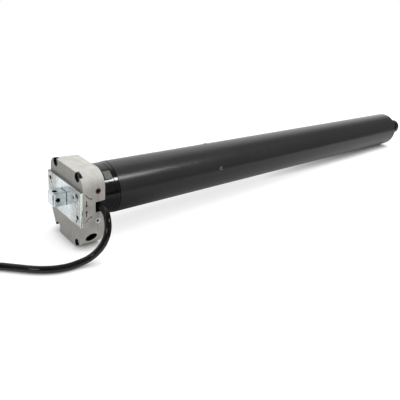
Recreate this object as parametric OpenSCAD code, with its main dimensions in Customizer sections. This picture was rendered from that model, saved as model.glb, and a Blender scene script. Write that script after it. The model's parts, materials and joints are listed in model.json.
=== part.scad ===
// Tubular motor for roller blinds and shutters, with an emergency crank and two limit adjusters.
// The tube's axis runs along +X. The origin is on that axis, in the plate's front face. Millimetres.

/* [Tube] */
// Outside diameter of the motor tube
tube_d = 60; // [58:0.5:66]
// Wall of the motor tube
tube_wall = 1.5; // [1.2:0.1:2]
// Length of the motor tube
tube_len = 639; // [630:1:720]
// Distance from the tube's front edge to its ring of screws
tube_screw_at = 154; // [150:1:158]
// Screws in the ring
tube_screw_n = 4; // [3:1:6]
// Radius of a tube screw's head
tube_screw_r = 2.6; // [2.2:0.1:3]

/* [Head] */
// Width of the head
head_w = 74; // [72:0.5:80]
// Narrowing of each side of the head towards its rear
head_draft = 2; // [0.5:0.5:3]
// Height of the head's top above the axis
head_top = 34.5; // [33:0.5:40]
// Depth of the head's flat bottom below the axis
head_low = 53.5; // [52:0.5:60]
// Thickness of both halves of the head together
head_depth = 26.5; // [26:0.5:32]
// Thickness of the front half
cover_depth = 10.5; // [10:0.5:12]
// Radius of the upper corner on the adjusters' side
head_corner_r = 18; // [14:0.5:20]
// Radius of the other upper corner
plain_corner_r = 12; // [10:0.5:18]
// Width of the flat bottom
foot_w = 35; // [30:0.5:40]
// Depth below the axis where the sloping lower sides start
slope_top = 31.5; // [30:0.5:33]
// Width of the sloping lower sides
slope_w = 19; // [16:0.5:20]
// Radius of the screw pockets in the corners
pocket_r = 5; // [4.6:0.1:5.4]
// Depth of the wide mouths of the pockets
pocket_mouth = 3.5; // [3:0.5:5]
// Depth of the screw pockets
pocket_depth = 7; // [6:0.5:8]
// Thread radius of the head's screws
head_screw_r = 2; // [1.5:0.1:2.2]

/* [Mounting plate] */
// Width of the plate
plate_w = 75; // [72:0.5:80]
// Height of the plate
plate_h = 40; // [36:0.5:44]
// Thickness of the plate
plate_t = 3.5; // [3:0.5:5]
// Distance of the plate's middle below the axis
plate_drop = 2.5; // [0:0.5:4]
// Distance across between the plate's threaded holes
plate_hole_dy = 62.5; // [60:0.5:66]
// Distance up between the plate's threaded holes
plate_hole_dz = 23; // [20:0.5:28]
// Radius of the threaded holes
plate_hole_r = 2.5; // [2:0.1:3]
// Distance across between the screws that hold the plate
plate_screw_dy = 55; // [52:0.5:56]
// Distance up between the screws that hold the plate
plate_screw_dz = 21; // [18:0.5:24]
// Thread radius of the screws that hold the plate
plate_screw_r = 2; // [1.5:0.1:2.5]
// Width of the square stub
stub_w = 15; // [12:0.5:16]
// Length of the square stub
stub_len = 15; // [13:0.5:20]
// Radius of the stub's cross-holes
stub_hole_r = 2.5; // [2:0.1:3]

/* [Crown ring] */
// Length of the ring between head and tube
crown_len = 22.2; // [21:0.1:26]
// Depth of the ring's surface below that of the tube
crown_step = 0.4; // [0.2:0.1:1.2]
// Height of the raised key
crown_key_h = 1.7; // [1:0.1:2.2]

/* [Emergency crank] */
// Angle of the crank below the horizontal
crank_tilt = 28; // [24:1:32]
// Teeth of the worm wheel, with a module of one
wheel_teeth = 28; // [26:1:30]
// Radius of the crank's hole
crank_hole_r = 6.6; // [5.6:0.1:6.8]
// Bore radius of the bush in the crank's hole
crank_bush_r = 4.5; // [4:0.1:4.8]

/* [Limit adjusters] */
// Radius of an adjuster
adjuster_r = 3.2; // [2.5:0.1:3.5]
// Length of an adjuster
adjuster_len = 16; // [12:0.5:17]
// Height of the red adjuster above the axis
red_z = 15; // [14:0.5:18]
// Depth of the white adjuster below the axis
white_z = 19.5; // [18:0.5:20.5]

/* [Motor] */
// Radius of the rotor
rotor_r = 15; // [13:0.5:16]
// Length of the laminated stator
stator_len = 150; // [120:1:155]
// Radius of the motor's shaft
shaft_r = 5; // [4:0.5:5]
// Length of the capacitor
capacitor_len = 76; // [60:1:78]
// Radius of the capacitor
capacitor_r = 20; // [16:0.5:24]

/* [Gearbox] */
// Teeth of each sun gear, with a module of one
sun_teeth = 12; // [12:6:12]
// Teeth of each planet gear
planet_teeth = 18; // [18:6:18]
// Width of the first planet gears
planet_1_w = 12; // [10:0.5:15]
// Width of the second planet gears
planet_2_w = 18; // [14:0.5:20]
// Width of the third planet gears
planet_3_w = 26; // [20:0.5:30]
// Radius of the output shaft
output_r = 13.5; // [12:0.5:15]
// Length of the output shaft outside the tube
output_len = 50; // [44:0.5:56]
// Radius of the output shaft's cross-hole
output_hole_r = 4.5; // [3:0.5:5]

/* [Lead] */
// Diameter of the lead
lead_d = 7.5; // [7:0.1:7.6]

/* [Hidden] */
$fn = 64;

// Clearances: a running fit, a seat, a gap between moving parts, and the overlap of a cut
run = 0.05;
seat = 0.05;
gap = 0.5;
cut = 1;

// Stations along the axis, from the head to the far end
tube_r = tube_d / 2;
tube_ir = tube_r - tube_wall;
fill_r = tube_ir - seat;
split_x = plate_t + cover_depth;
head_back = plate_t + head_depth;
crown_x = head_back + gap;
crown_end = crown_x + crown_len;
tube_x = crown_end + gap;
tube_end = tube_x + tube_len;
shaft_tip = tube_end + output_len;

// Corners of the head's outline, seen along the axis
half_w = head_w / 2;
slope_y = half_w - slope_w * sin(crank_tilt);
slope_z = -slope_top - slope_w * cos(crank_tilt);
draft_angle = atan(head_draft / head_depth);
pocket_in = 12.5;
pocket_cover = 4.3;
pocket_low_in = 5;
pocket_low_rise = 0.3;
pocket_y = half_w - pocket_in;
pocket_low_y = slope_y - pocket_low_in;
pocket_low_z = slope_z + pocket_low_rise;
lobe_z = 26;
lobe_r = half_w + 4;
lobe_back_r = half_w - 4;
lobe_round = 8;
lobe_steps = 6;
corner_steps = 20;

// Screws of the plate and of the head
plate_hole_drop = 1;
plate_screw_head_r = 4.4;
plate_screw_head_h = 2.4;
plate_screw_rim = 0.6;
plate_screw_len = 8;
pin_hole_r = 1;
pin_hole_in = 2.2;
pin_hole_down = 5;
dome_steps = 5;
recess_len = 4.6;
recess_w = 1;
recess_depth = 1.3;
recess_turn = 45;
head_screw_head_r = 3.1;
head_screw_head_h = 3;
head_screw_room = 0.15;
head_screw_len = 14;
socket_r = 1.6;
socket_depth = 1.5;
stub_rivet_r = 6;
stub_chamfer = 1.5;
bolt_room = 0.4;
bolt_depth = 8;
stub_hole_x = -stub_len * 0.65;

// Limit adjusters, set a little below the side of the head
adjuster_recess = 0.2;
adjuster_socket = 5;
adjuster_socket_share = 0.55;
adjuster_x = plate_t + 18;
adjuster_y = adjuster_recess - side_y(adjuster_x);

// Crank worm and its wheel
tooth = 1;
pressure = 20;
worm_mean_r = 4.9;
worm_throw = 1;
wheel_pitch_r = wheel_teeth * tooth / 2;
worm_offset = wheel_pitch_r + worm_mean_r + 0.1;
worm_x = 15;
worm_pitch = PI * tooth;
worm_thread_len = 16;
worm_journal_r = 3.6;
worm_socket_r = 5.2;
worm_socket_z = 15;
worm_room_r = 6.9;
slope_reach = half_w * cos(crank_tilt) + slope_top * sin(crank_tilt);
worm_low = -14.5;
bush_len = 10;
bush_recess = 1;
worm_high = slope_reach - bush_recess - bush_len - gap;
wheel_w = 8;
wheel_x = worm_x - wheel_w / 2;
wheel_gap = 0.8;
wheel_room_r = wheel_pitch_r + 2;
wheel_back = wheel_x + wheel_w + wheel_gap;
crank_hex_r = 4;
crank_hex_depth = 12;
worm_bush_len = 5;

// Hollow sleeve that carries the tube in the head
sleeve_r = 9;
sleeve_bore_r = 6;
sleeve_x = plate_t + 3.6;
plug_x = tube_x + gap;
plug_len = 16;
plug_end = plug_x + plug_len;

// Notch for the lead, and the block in it
notch_x = plate_t + 15;
notch_top = 3;
notch_low = -9;
notch_depth = 18.5;
gland_depth = 11.5;
gland_back_y = -half_w + notch_depth;
gland_face_y = gland_back_y - gland_depth;

// Hub under the crown ring, and the limit switch unit inside it
hub_r = 25;
hub_bore_r = 22.5;
hub_len = 13.5;
hub_end = head_back + hub_len;
hub_wall = 3.5;
hub_screw_r = 1.5;
hub_screw_head_r = 2.8;
hub_boss_wall = 0.7;
hub_screw_head_h = 2;
hub_screw_at = 19.6;
hub_screw_len = 7;
hub_screw_turn = 60;
crown_r = tube_r - crown_step;
crown_tooth = 0.9;
crown_teeth = 52;
pinion_teeth = 13;
crown_pitch_r = crown_teeth * crown_tooth / 2;
pinion_pitch_r = pinion_teeth * crown_tooth / 2;
pinion_at = crown_pitch_r - pinion_pitch_r;
pinion_w = 6;
pinion_x = hub_end + gap + 0.4;
pinion_shaft_r = 2;
pinion_shaft_in = 4;
crown_teeth_x = hub_end + 0.4;
crown_groove_at = 5.2;
crown_groove_w = 0.8;
crown_groove_h = 0.7;
crown_key_x = crown_x + 6.5;
crown_key_len = 9;
crown_key_w = 10;
crown_key_angle = 40;
cam_r = 4.6;
cam_t = 2.4;
cam_lobe_r = 3.2;
cam_up_turn = 30;
cam_down_turn = 150;
cam_up_x = head_back + 1.6;
cam_down_x = cam_up_x + cam_t + 2;
switch_y = 5.2;
switch_w = 5.8;
switch_z = 11;
switch_h = 8;
switch_button_h = 0.3;

// Screws of the tube
tube_screw_turn = 77;
tube_screw_h = 0.8;
tube_screw_in = 5;
tube_screw_core_r = 1.56;
tube_screw_top_r = 1.82;

// Capacitor and brake
capacitor_x = plug_end + 4;
cradle_w = 8;
bell_len = 14;
bell_port_at = 17;
bell_port_r = 2.5;
bell_ports = 6;
bell_x = tube_x + tube_screw_at - bell_len / 2;
disc_t = 4;
disc_r = 24;
disc_x = bell_x - 0.6 - disc_t;
armature_t = 3;
armature_x = disc_x - 0.3 - armature_t;
armature_r = fill_r - 1;
release = 0.4;
pot_len = 22;
pot_end = armature_x - release - 0.4;
pot_x = pot_end - pot_len;
pot_bore_r = shaft_r + 3;
coil_in_r = 13;
coil_out_r = 23;
coil_len = 14;
guide_r = 2;
guide_at = 25;
guide_n = 3;

// Motor
winding_len = 14;
stator_x = bell_x + bell_len + winding_len + 1;
stator_end = stator_x + stator_len;
rear_bell_x = stator_end + winding_len + 1;
rear_bell_end = rear_bell_x + bell_len;
air_gap = 0.4;
slot_n = 12;
slot_at = 21;
slot_r = 2.5;
wire_r = 2.3;
winding_in_r = 17;
winding_out_r = 25;
bearing_r = 11;
bearing_w = 8;
rotor_ring = 2;
shaft_x = pot_x + 2;

// Gearbox: three like stages, each with a ratio of five
ring_teeth = sun_teeth + 2 * planet_teeth;
planet_at = (sun_teeth + planet_teeth) * tooth / 2;
planet_bore_r = 3.05;
backlash = 0.25;
ring_x = rear_bell_end + seat;
stage_1_x = ring_x + 4;
carrier_t = 6;
carrier_r = 22;
face_gap = 0.4;
plate_1_x = stage_1_x + planet_1_w + face_gap;
stage_2_x = plate_1_x + carrier_t + face_gap;
plate_2_x = stage_2_x + planet_2_w + face_gap;
stage_3_x = plate_2_x + carrier_t + face_gap;
plate_3_x = stage_3_x + planet_3_w + face_gap;
plate_3_end = plate_3_x + carrier_t + 4;
ring_end = plate_3_end + 2;

// Output end
cap_t = 8;
housing_x = ring_end + seat;
housing_end = tube_end - cap_t - seat;
output_bush_len = 24;
output_bush_wall = 4;
clip_t = 1.5;
clip_x = tube_end + 0.6;
clip_groove = 0.8;
clip_r = output_r + 2.2;
output_hole_in = 13.5;
output_hole_x = shaft_tip - output_hole_in;

// The surface that the motor lies on touches the head's rear edge and the far end of the tube
floor_pitch = atan((head_low - tube_r) / (tube_end - head_back));

// Route of the lead over that surface: along it, across it and above it, from the head's rear edge
LEAD_ROUTE = [
    [-4, -30, 50], [-4, -38, 50], [-4, -46, 48], [-6, -53, 44], [-9, -59, 37], [-13, -62, 29], [-18, -62, 20],
    [-25, -60, 12], [-33, -58, 7], [-42, -56, 4.6], [-52, -55, 4], [-63, -52, 4], [-74, -46, 4], [-84, -38, 4],
    [-94, -28, 4], [-104, -18, 4], [-114, -9, 4.2], [-124, 0, 4.8], [-134, 9, 5.4], [-144, 18, 5.4]
];
lead_sides = 10;

// Coil of the length that is put away: it winds in, climbs a layer and winds out again
coil_r = 54;
coil_step = 8;
coil_in_turns = 3;
coil_out_turns = 2.5;
coil_rings = 24;
coil_sides = 6;
coil_start = LEAD_ROUTE[len(LEAD_ROUTE) - 1];
coil_heading = unit(coil_start - LEAD_ROUTE[len(LEAD_ROUTE) - 2]);
coil_yaw = atan2(coil_heading[1], coil_heading[0]);
coil_turns = coil_in_turns + 0.5 + coil_out_turns;
coil_count = round(coil_turns * coil_rings);
coil_first = [coil_start[0] + lead_d * cos(coil_yaw), coil_start[1] + lead_d * sin(coil_yaw), coil_start[2]];
coil_mid = [coil_first[0] - coil_r * sin(coil_yaw), coil_first[1] + coil_r * cos(coil_yaw), coil_start[2]];
coil_end_yaw = coil_yaw + 360 * coil_turns;
coil_end = coil_point(coil_turns);
coil_tip = coil_end + lead_d * [cos(coil_end_yaw), sin(coil_end_yaw), 0];
COIL_LINE = concat(
    [coil_start],
    [for (i = [0:coil_count]) coil_point(i / coil_rings)],
    [coil_tip]
);
core_r = 1.1;
core_at = 1.8;
core_len = 22;
tie_t = 1;
tie_w = 5;
tie_room = 0.4;
tie_turn = 0.55;

function unit(v) = v / norm(v);

// Radius of the coil after so many turns: in at a steady rate, then out again at the same rate
function coil_radius(turn) = coil_r - coil_step * min(turn, 2 * (coil_in_turns + 0.25) - turn);

// Rise of the coil after so many turns: one layer in the half turn where the spiral reverses
function coil_rise(turn) =
    let (share = min(1, max(0, (turn - coil_in_turns) / 0.5)))
    coil_step * (1 - cos(180 * share)) / 2;

function coil_point(turn) =
    let (angle = coil_yaw - 90 + 360 * turn)
    coil_mid + [coil_radius(turn) * cos(angle), coil_radius(turn) * sin(angle), coil_rise(turn)];

// Least space between turns of a line, on points that lie at least half a turn apart
function self_gap(line, apart) = min([
    for (i = [0:len(line) - 1])
        for (j = [i + apart:1:len(line) - 1])
            norm(line[i] - line[j])
]) - lead_d;

function line_length(line, i = 1) =
    i == len(line) ? 0 : norm(line[i] - line[i - 1]) + line_length(line, i + 1);

function direction(line, i) = unit(line[min(i + 1, len(line) - 1)] - line[max(i - 1, 0)]);

function ring(point, along, away, sides) =
    let (a = unit(cross(along, away)), b = cross(along, a))
    [for (k = [0:sides - 1]) point + lead_d / 2 * (cos(360 * k / sides) * a + sin(360 * k / sides) * b)];

// A round tube along a line, as one closed body of triangles
module tube_along(line, away, sides) {
    last = len(line) - 1;
    corners = [for (i = [0:last]) each ring(line[i], direction(line, i), away, sides)];
    walls = [
        for (i = [0:last - 1])
            for (k = [0:sides - 1])
                let (a = i * sides + k, b = i * sides + (k + 1) % sides)
                    each [[a, a + sides, b + sides], [a, b + sides, b]]
    ];
    front = [for (k = [1:sides - 2]) [0, k, k + 1]];
    back = [for (k = [1:sides - 2]) [last * sides, last * sides + k + 1, last * sides + k]];
    polyhedron(points = corners, faces = concat(walls, front, back));
}

// Places children on the surface that the motor lies on
module on_floor() {
    translate([head_back, 0, -head_low])
        rotate([0, -floor_pitch, 0])
            children();
}

function floor_to_head(p) = [
    head_back + p[0] * cos(floor_pitch) - p[2] * sin(floor_pitch),
    p[1],
    -head_low + p[0] * sin(floor_pitch) + p[2] * cos(floor_pitch)
];
lead_exit = floor_to_head(LEAD_ROUTE[0]);

// A round rod along the axis from one station to another
module rod(r, from, to) {
    translate([from, 0, 0])
        rotate([0, 90, 0])
            cylinder(r = r, h = to - from);
}

// A flat shape, drawn as seen from the head, between two stations along the axis
module slab(from, to) {
    translate([from, 0, 0])
        rotate([90, 0, 90])
            linear_extrude(to - from)
                children();
}

module pipe(r, bore, from, to) {
    difference() {
        rod(r, from, to);
        rod(bore, from - cut, to + cut);
    }
}

// Copies children to places round the axis
module around(n, radius, first = 0) {
    for (k = [0:n - 1])
        rotate([first + 360 * k / n, 0, 0])
            translate([0, 0, radius])
                children();
}

// Involute of a circle, as an angle in degrees
function inv_angle(r, base) = r <= base ? 0 : sqrt(pow(r / base, 2) - 1) * 180 / PI - acos(base / r);

// Outline of a spur gear, with a tooth at angle zero; slack is taken off each tooth's thickness
module gear_outline(teeth, size, low, high, slack) {
    pitch_r = teeth * size / 2;
    base = pitch_r * cos(pressure);
    half = 90 / teeth - slack / 2 / pitch_r * 180 / PI + inv_angle(pitch_r, base);
    radii = [low, pitch_r, high];
    polygon([
        for (k = [0:teeth - 1])
            each concat(
                [for (r = radii) let (a = 360 * k / teeth - half + inv_angle(r, base)) r * [cos(a), sin(a)]],
                [for (i = [2:-1:0]) let (r = radii[i], a = 360 * k / teeth + half - inv_angle(r, base))
                    r * [cos(a), sin(a)]]
            )
    ]);
}

// A spur gear along the axis; its tooth at angle zero points down
module gear(teeth, size, from, to, slack, turn = 0) {
    translate([from, 0, 0])
        rotate([0, 90, 0])
            linear_extrude(to - from)
                rotate(turn)
                    gear_outline(teeth, size, teeth * size / 2 - 1.25 * size, teeth * size / 2 + size, slack);
}

// Room for a ring of inward teeth
module gear_room(teeth, size, from, to, slack) {
    translate([from, 0, 0])
        rotate([0, 90, 0])
            linear_extrude(to - from)
                rotate(180 / teeth)
                    gear_outline(teeth, size, teeth * size / 2 - size, teeth * size / 2 + 1.25 * size, -slack);
}

// Places children on the crank's axis, with +Z out of the sloping side
module on_worm() {
    translate([worm_x, 0, 0])
        rotate([90 + crank_tilt, 0, 0])
            translate([0, -worm_offset, 0])
                children();
}

// Points of an arc about a middle, from one angle to another
function arc(middle, r, from, to, steps) =
    [for (k = [0:steps]) let (a = from + (to - from) * k / steps) middle + r * [cos(a), sin(a)]];

// Outline of the head's lower half, seen along the axis, a little too wide and too high
module head_foot() {
    wide = half_w + cut;
    slope_out = cut / tan(crank_tilt) - slope_top;
    polygon([
        [wide, head_top + cut], [-wide, head_top + cut], [-wide, slope_out], [-slope_y, slope_z],
        [-foot_w / 2, -head_low], [foot_w / 2, -head_low], [slope_y, slope_z], [wide, slope_out]
    ]);
}

// Outline of the head's sides, rounded upper corners and top
module head_arch() {
    far = [half_w - plain_corner_r, head_top - plain_corner_r];
    near = [head_corner_r - half_w, head_top - head_corner_r];
    polygon(concat(
        arc(far, plain_corner_r, 0, 90, corner_steps),
        arc(near, head_corner_r, 90, 180, corner_steps),
        [[-half_w, -head_low - cut], [half_w, -head_low - cut]]
    ));
}

// Height of an upper pocket, so far below the outline above it
function pocket_z(corner_r) =
    head_top - corner_r + sqrt(pow(corner_r, 2) - pow(max(0, pocket_y - half_w + corner_r), 2)) - pocket_cover;

// Places children at the four corner screws
module at_head_screws() {
    translate([0, -pocket_y, pocket_z(head_corner_r)])
        children();
    translate([0, pocket_y, pocket_z(plain_corner_r)])
        children();
    for (side = [-1, 1])
        translate([0, side * pocket_low_y, pocket_low_z])
            children();
}

// Places children at the two screws on one diagonal of the plate
module at_plate_screws() {
    for (side = [-1, 1])
        translate([0, -side * plate_screw_dy / 2, side * plate_screw_dz / 2 - plate_hole_drop])
            children();
}

// Places children at the two threaded holes on the plate's other diagonal
module at_plate_holes() {
    for (side = [-1, 1])
        translate([0, side * plate_hole_dy / 2, side * plate_hole_dz / 2 - plate_hole_drop])
            children();
}

// Places children at the small hole beside each threaded hole
module at_pin_holes() {
    for (side = [-1, 1])
        translate([
            0,
            side * (plate_hole_dy / 2 - pin_hole_in),
            side * plate_hole_dz / 2 - plate_hole_drop - pin_hole_down
        ])
            children();
}

// Half the head's width at a station along the axis
function side_y(x) = half_w - head_draft * (x - plate_t + cut) / head_depth;

// The head's arch along the axis, turned about the front edge of one side so that this side narrows
module drafted_arch(side, from, to) {
    translate([plate_t - cut, side * half_w, 0])
        rotate([0, 0, -side * draft_angle])
            translate([cut - plate_t, -side * half_w, 0])
                slab(from - head_depth, to + head_depth)
                    head_arch();
}

// The head between two stations, with its sides and upper corners narrowing towards the rear
module head_block(from, to) {
    intersection() {
        slab(from, to)
            head_foot();
        drafted_arch(-1, from, to);
        drafted_arch(1, from, to);
    }
}

// Round room for the worm, its bushes and the bush of the crank's hole
module worm_room() {
    on_worm() {
        translate([0, 0, worm_low - gap])
            cylinder(r = worm_room_r, h = worm_high - worm_low + gap);
        cylinder(r = crank_hole_r, h = slope_reach + cut);
    }
}

module mounting_plate() {
    color("lightsteelblue")
        difference() {
            translate([0, -plate_w / 2, -plate_drop - plate_h / 2])
                cube([plate_t, plate_w, plate_h]);
            at_plate_holes()
                rod(plate_hole_r, -cut, plate_t + cut);
            at_pin_holes()
                rod(pin_hole_r, -cut, plate_t + cut);
            rod(stub_rivet_r + seat, -cut, plate_t + cut);
            at_plate_screws()
                rod(plate_screw_r + seat, -cut, plate_t + cut);
        }
}

// Side of the stub, with the edges of its end cut off
module stub_side() {
    half = stub_w / 2;
    linear_extrude(stub_w, center = true)
        polygon([
            [0, -half], [0, half], [stub_chamfer - stub_len, half], [-stub_len, half - stub_chamfer],
            [-stub_len, stub_chamfer - half], [stub_chamfer - stub_len, -half]
        ]);
}

module square_stub() {
    color("lightsteelblue") {
        difference() {
            intersection() {
                stub_side();
                rotate([90, 0, 0])
                    stub_side();
            }
            translate([stub_hole_x, 0, 0]) {
                rotate([90, 0, 0])
                    cylinder(r = stub_hole_r, h = stub_w + 2 * cut, center = true);
                cylinder(r = stub_hole_r, h = stub_w + 2 * cut, center = true);
            }
        }
        rod(stub_rivet_r, -seat, plate_t);
    }
}

// A round head that stands on the plate, with its top towards -X
module dome_head() {
    crown = plate_screw_head_h - plate_screw_rim;
    rotate([0, -90, 0])
        rotate_extrude()
            polygon(concat(
                [[0, 0], [plate_screw_head_r, 0]],
                [for (k = [0:dome_steps]) let (a = 90 * k / dome_steps)
                    [plate_screw_head_r * cos(a), plate_screw_rim + crown * sin(a)]]
            ));
}

module plate_screws() {
    color("silver")
        at_plate_screws()
            difference() {
                union() {
                    dome_head();
                    rod(plate_screw_r, -seat, plate_screw_len);
                }
                for (turn = [recess_turn, recess_turn + 90])
                    rotate([turn, 0, 0])
                        translate([-plate_screw_head_h - cut, -recess_len / 2, -recess_w / 2])
                            cube([cut + recess_depth, recess_len, recess_w]);
            }
}

module head_cover() {
    color("darkgray")
        difference() {
            head_block(plate_t, split_x);
            at_head_screws() {
                rod(pocket_r, plate_t - cut, plate_t + pocket_mouth);
                rod(head_screw_head_r + head_screw_room, plate_t, plate_t + pocket_depth);
                rod(head_screw_r + run, plate_t, split_x + cut);
            }
            at_plate_screws()
                rod(plate_screw_r + seat, plate_t - cut, plate_screw_len + gap);
            at_plate_holes()
                rod(plate_hole_r + bolt_room, plate_t - cut, plate_t + bolt_depth);
            rod(sleeve_r + run, sleeve_x - gap, split_x + cut);
            rod(wheel_room_r, wheel_x - wheel_gap, split_x + cut);
            worm_room();
        }
}

// Lower part of the rear half, rounded towards the tube
module lobe() {
    flat = head_back - split_x - lobe_round;
    translate([split_x, 0, -lobe_z])
        rotate([0, 90, 0])
            rotate_extrude()
                polygon(concat(
                    [[0, flat + lobe_round], [0, 0], [lobe_r, 0]],
                    [for (k = [0:lobe_steps]) let (a = 90 * k / lobe_steps)
                        [lobe_back_r + (lobe_r - lobe_back_r) * cos(a), flat + lobe_round * sin(a)]]
                ));
}

module adjuster_room(z) {
    translate([adjuster_x, adjuster_y - adjuster_recess - cut, z])
        rotate([-90, 0, 0])
            cylinder(r = adjuster_r + run, h = adjuster_len + adjuster_recess + gap + cut);
}

module head_housing() {
    color("darkgray")
        difference() {
            intersection() {
                head_block(split_x, head_back);
                union() {
                    lobe();
                    translate([split_x, -half_w, notch_low])
                        cube([head_back - split_x, head_w, head_top - notch_low]);
                }
            }
            rod(wheel_room_r, split_x - cut, wheel_back);
            rod(sleeve_r + run, split_x, head_back + cut);
            worm_room();
            translate([notch_x, -half_w - cut, notch_low])
                cube([head_back - notch_x + cut, notch_depth + cut, notch_top - notch_low]);
            adjuster_room(red_z);
            adjuster_room(-white_z);
            at_head_screws()
                rod(head_screw_r + seat, split_x - cut, plate_t + pocket_depth + head_screw_len + gap);
            around(3, hub_screw_at, hub_screw_turn)
                rod(hub_screw_r + seat, head_back - hub_screw_len, head_back + cut);
            translate([0, 0, pinion_at])
                rod(pinion_shaft_r + run, head_back - pinion_shaft_in - gap, head_back + cut);
        }
}

module head_screws() {
    color("silver")
        at_head_screws()
            translate([plate_t + pocket_depth, 0, 0])
                difference() {
                    union() {
                        rod(head_screw_head_r, -head_screw_head_h, 0);
                        rod(head_screw_r, -seat, head_screw_len);
                    }
                    rod(socket_r, -head_screw_head_h - cut, -head_screw_head_h + socket_depth);
                }
}

// A limit adjuster with a hexagon socket, turned from the side of the head
module adjuster(z) {
    translate([adjuster_x, adjuster_y, z])
        rotate([-90, 0, 0])
            difference() {
                cylinder(r = adjuster_r, h = adjuster_len);
                translate([0, 0, -cut])
                    cylinder(r = adjuster_r * adjuster_socket_share, h = cut + adjuster_socket, $fn = 6);
            }
}

module red_adjuster() {
    color("red")
        adjuster(red_z);
}

module white_adjuster() {
    color("white")
        adjuster(-white_z);
}

module crank_bush() {
    color("dimgray")
        on_worm()
            translate([0, 0, slope_reach - bush_recess - bush_len])
                difference() {
                    cylinder(r = crank_hole_r - seat, h = bush_len);
                    translate([0, 0, -cut])
                        cylinder(r = crank_bush_r, h = bush_len + 2 * cut);
                }
}

module worm_bushes() {
    color("goldenrod")
        on_worm()
            for (z = [worm_low, worm_thread_len / 2 + 2])
                translate([0, 0, z])
                    difference() {
                        cylinder(r = worm_room_r - seat, h = worm_bush_len - gap);
                        translate([0, 0, -cut])
                            cylinder(r = worm_journal_r + run, h = worm_bush_len + 2 * cut);
                    }
}

// The worm's thread is a round section that circles its axis once in a tooth's pitch
module crank_worm() {
    turns = worm_thread_len / worm_pitch;
    half = worm_thread_len / 2;
    color("slategray")
        on_worm() {
            translate([0, 0, worm_low])
                cylinder(r = worm_journal_r, h = cut - half - worm_low);
            translate([0, 0, half - cut])
                cylinder(r = worm_journal_r, h = worm_socket_z - half + 2 * cut);
            difference() {
                translate([0, 0, worm_socket_z])
                    cylinder(r = worm_socket_r, h = worm_high - worm_socket_z);
                translate([0, 0, worm_high - crank_hex_depth])
                    cylinder(r = crank_hex_r, h = crank_hex_depth + cut, $fn = 6);
            }
            translate([0, 0, -half])
                linear_extrude(worm_thread_len, twist = -360 * turns, slices = round(12 * turns), $fn = 12)
                    rotate(90 - 180 * turns)
                        translate([worm_throw, 0])
                            circle(worm_mean_r);
        }
}

module worm_wheel() {
    color("goldenrod")
        difference() {
            gear(wheel_teeth, tooth, wheel_x, wheel_x + wheel_w, 2 * backlash, crank_tilt + 180 / wheel_teeth);
            rod(sleeve_r + seat, wheel_x - cut, wheel_x + wheel_w + cut);
        }
}

module drive_sleeve() {
    color("slategray")
        pipe(sleeve_r, sleeve_bore_r, sleeve_x, plug_end);
}

module front_plug() {
    color("dimgray")
        pipe(fill_r, sleeve_r + seat, plug_x, plug_end);
}

module cable_gland() {
    color("black")
        difference() {
            translate([notch_x + seat, gland_face_y, notch_low + seat])
                cube([head_back - notch_x - seat, gland_depth, notch_top - notch_low - 2 * seat]);
            translate([lead_exit[0], gland_face_y + gland_depth / 2, lead_exit[2]])
                rotate([-90, 0, 0])
                    cylinder(r = lead_d / 2 - 1, h = gland_depth + cut);
        }
}

module power_cable() {
    color("black")
        on_floor()
            tube_along(LEAD_ROUTE, [1, 1, 1], lead_sides);
}

module cable_coil() {
    echo(least_gap_in_coil = self_gap(COIL_LINE, coil_rings / 2));
    echo(lead_length = line_length(LEAD_ROUTE) + line_length(COIL_LINE));
    color("black")
        on_floor()
            tube_along(COIL_LINE, [0, 0, 1], coil_sides);
}

// A band round the bundle of turns
module cable_tie() {
    low = tie_t + tie_room + lead_d / 2;
    inner = coil_r - coil_step * (coil_in_turns + 0.25) - lead_d / 2 - tie_room;
    wide = coil_r + lead_d / 2 + tie_room - inner;
    high = coil_step + lead_d + 2 * tie_room;
    color("dimgray")
        on_floor()
            translate(coil_mid)
                rotate([0, 0, coil_yaw - 90 + 360 * tie_turn])
                    translate([inner, tie_w / 2, -lead_d / 2 - tie_room])
                        rotate([90, 0, 0])
                            linear_extrude(tie_w)
                                difference() {
                                    translate([-tie_t, -tie_t])
                                        square([wide + 2 * tie_t, high + 2 * tie_t]);
                                    square([wide, high]);
                                }
}

// The four bare cores at the lead's far end
module cable_cores() {
    color("peru")
        on_floor()
            translate(coil_tip)
                rotate([0, 90, coil_end_yaw])
                    for (k = [0:3])
                        rotate(45 + 90 * k)
                            translate([core_at, 0, 0])
                                cylinder(r = core_r, h = core_len, $fn = 24);
}

module crown_hub() {
    color("dimgray")
        difference() {
            union() {
                pipe(hub_r, hub_bore_r, head_back, hub_end);
                rod(hub_r - cut, hub_end - hub_wall, hub_end);
                around(3, hub_screw_at, hub_screw_turn)
                    rod(hub_screw_head_r + hub_boss_wall, head_back, hub_end);
            }
            rod(sleeve_r + run, head_back, hub_end + cut);
            translate([0, 0, pinion_at])
                rod(pinion_shaft_r + run, head_back, hub_end + cut);
            around(3, hub_screw_at, hub_screw_turn) {
                rod(hub_screw_r + run, head_back - cut, hub_end);
                rod(hub_screw_head_r + seat, hub_end - hub_screw_head_h, hub_end + cut);
            }
        }
}

module hub_screws() {
    color("silver")
        around(3, hub_screw_at, hub_screw_turn) {
            rod(hub_screw_r, head_back - hub_screw_len + gap, hub_end);
            rod(hub_screw_head_r, hub_end - hub_screw_head_h, hub_end);
        }
}

module crown_ring() {
    color("black")
        difference() {
            union() {
                rod(crown_r, crown_x, crown_end);
                rotate([crown_key_angle, 0, 0])
                    translate([crown_key_x, -crown_key_w / 2, 0])
                        cube([crown_key_len, crown_key_w, crown_r + crown_key_h]);
            }
            rod(hub_r + run, crown_x - cut, crown_teeth_x);
            gear_room(crown_teeth, crown_tooth, crown_teeth_x - cut, crown_end + cut, backlash);
            difference() {
                rod(crown_r + cut, crown_end - crown_groove_at, crown_end - crown_groove_at + crown_groove_w);
                rod(crown_r - crown_groove_h, crown_x, crown_end);
            }
        }
}

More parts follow.
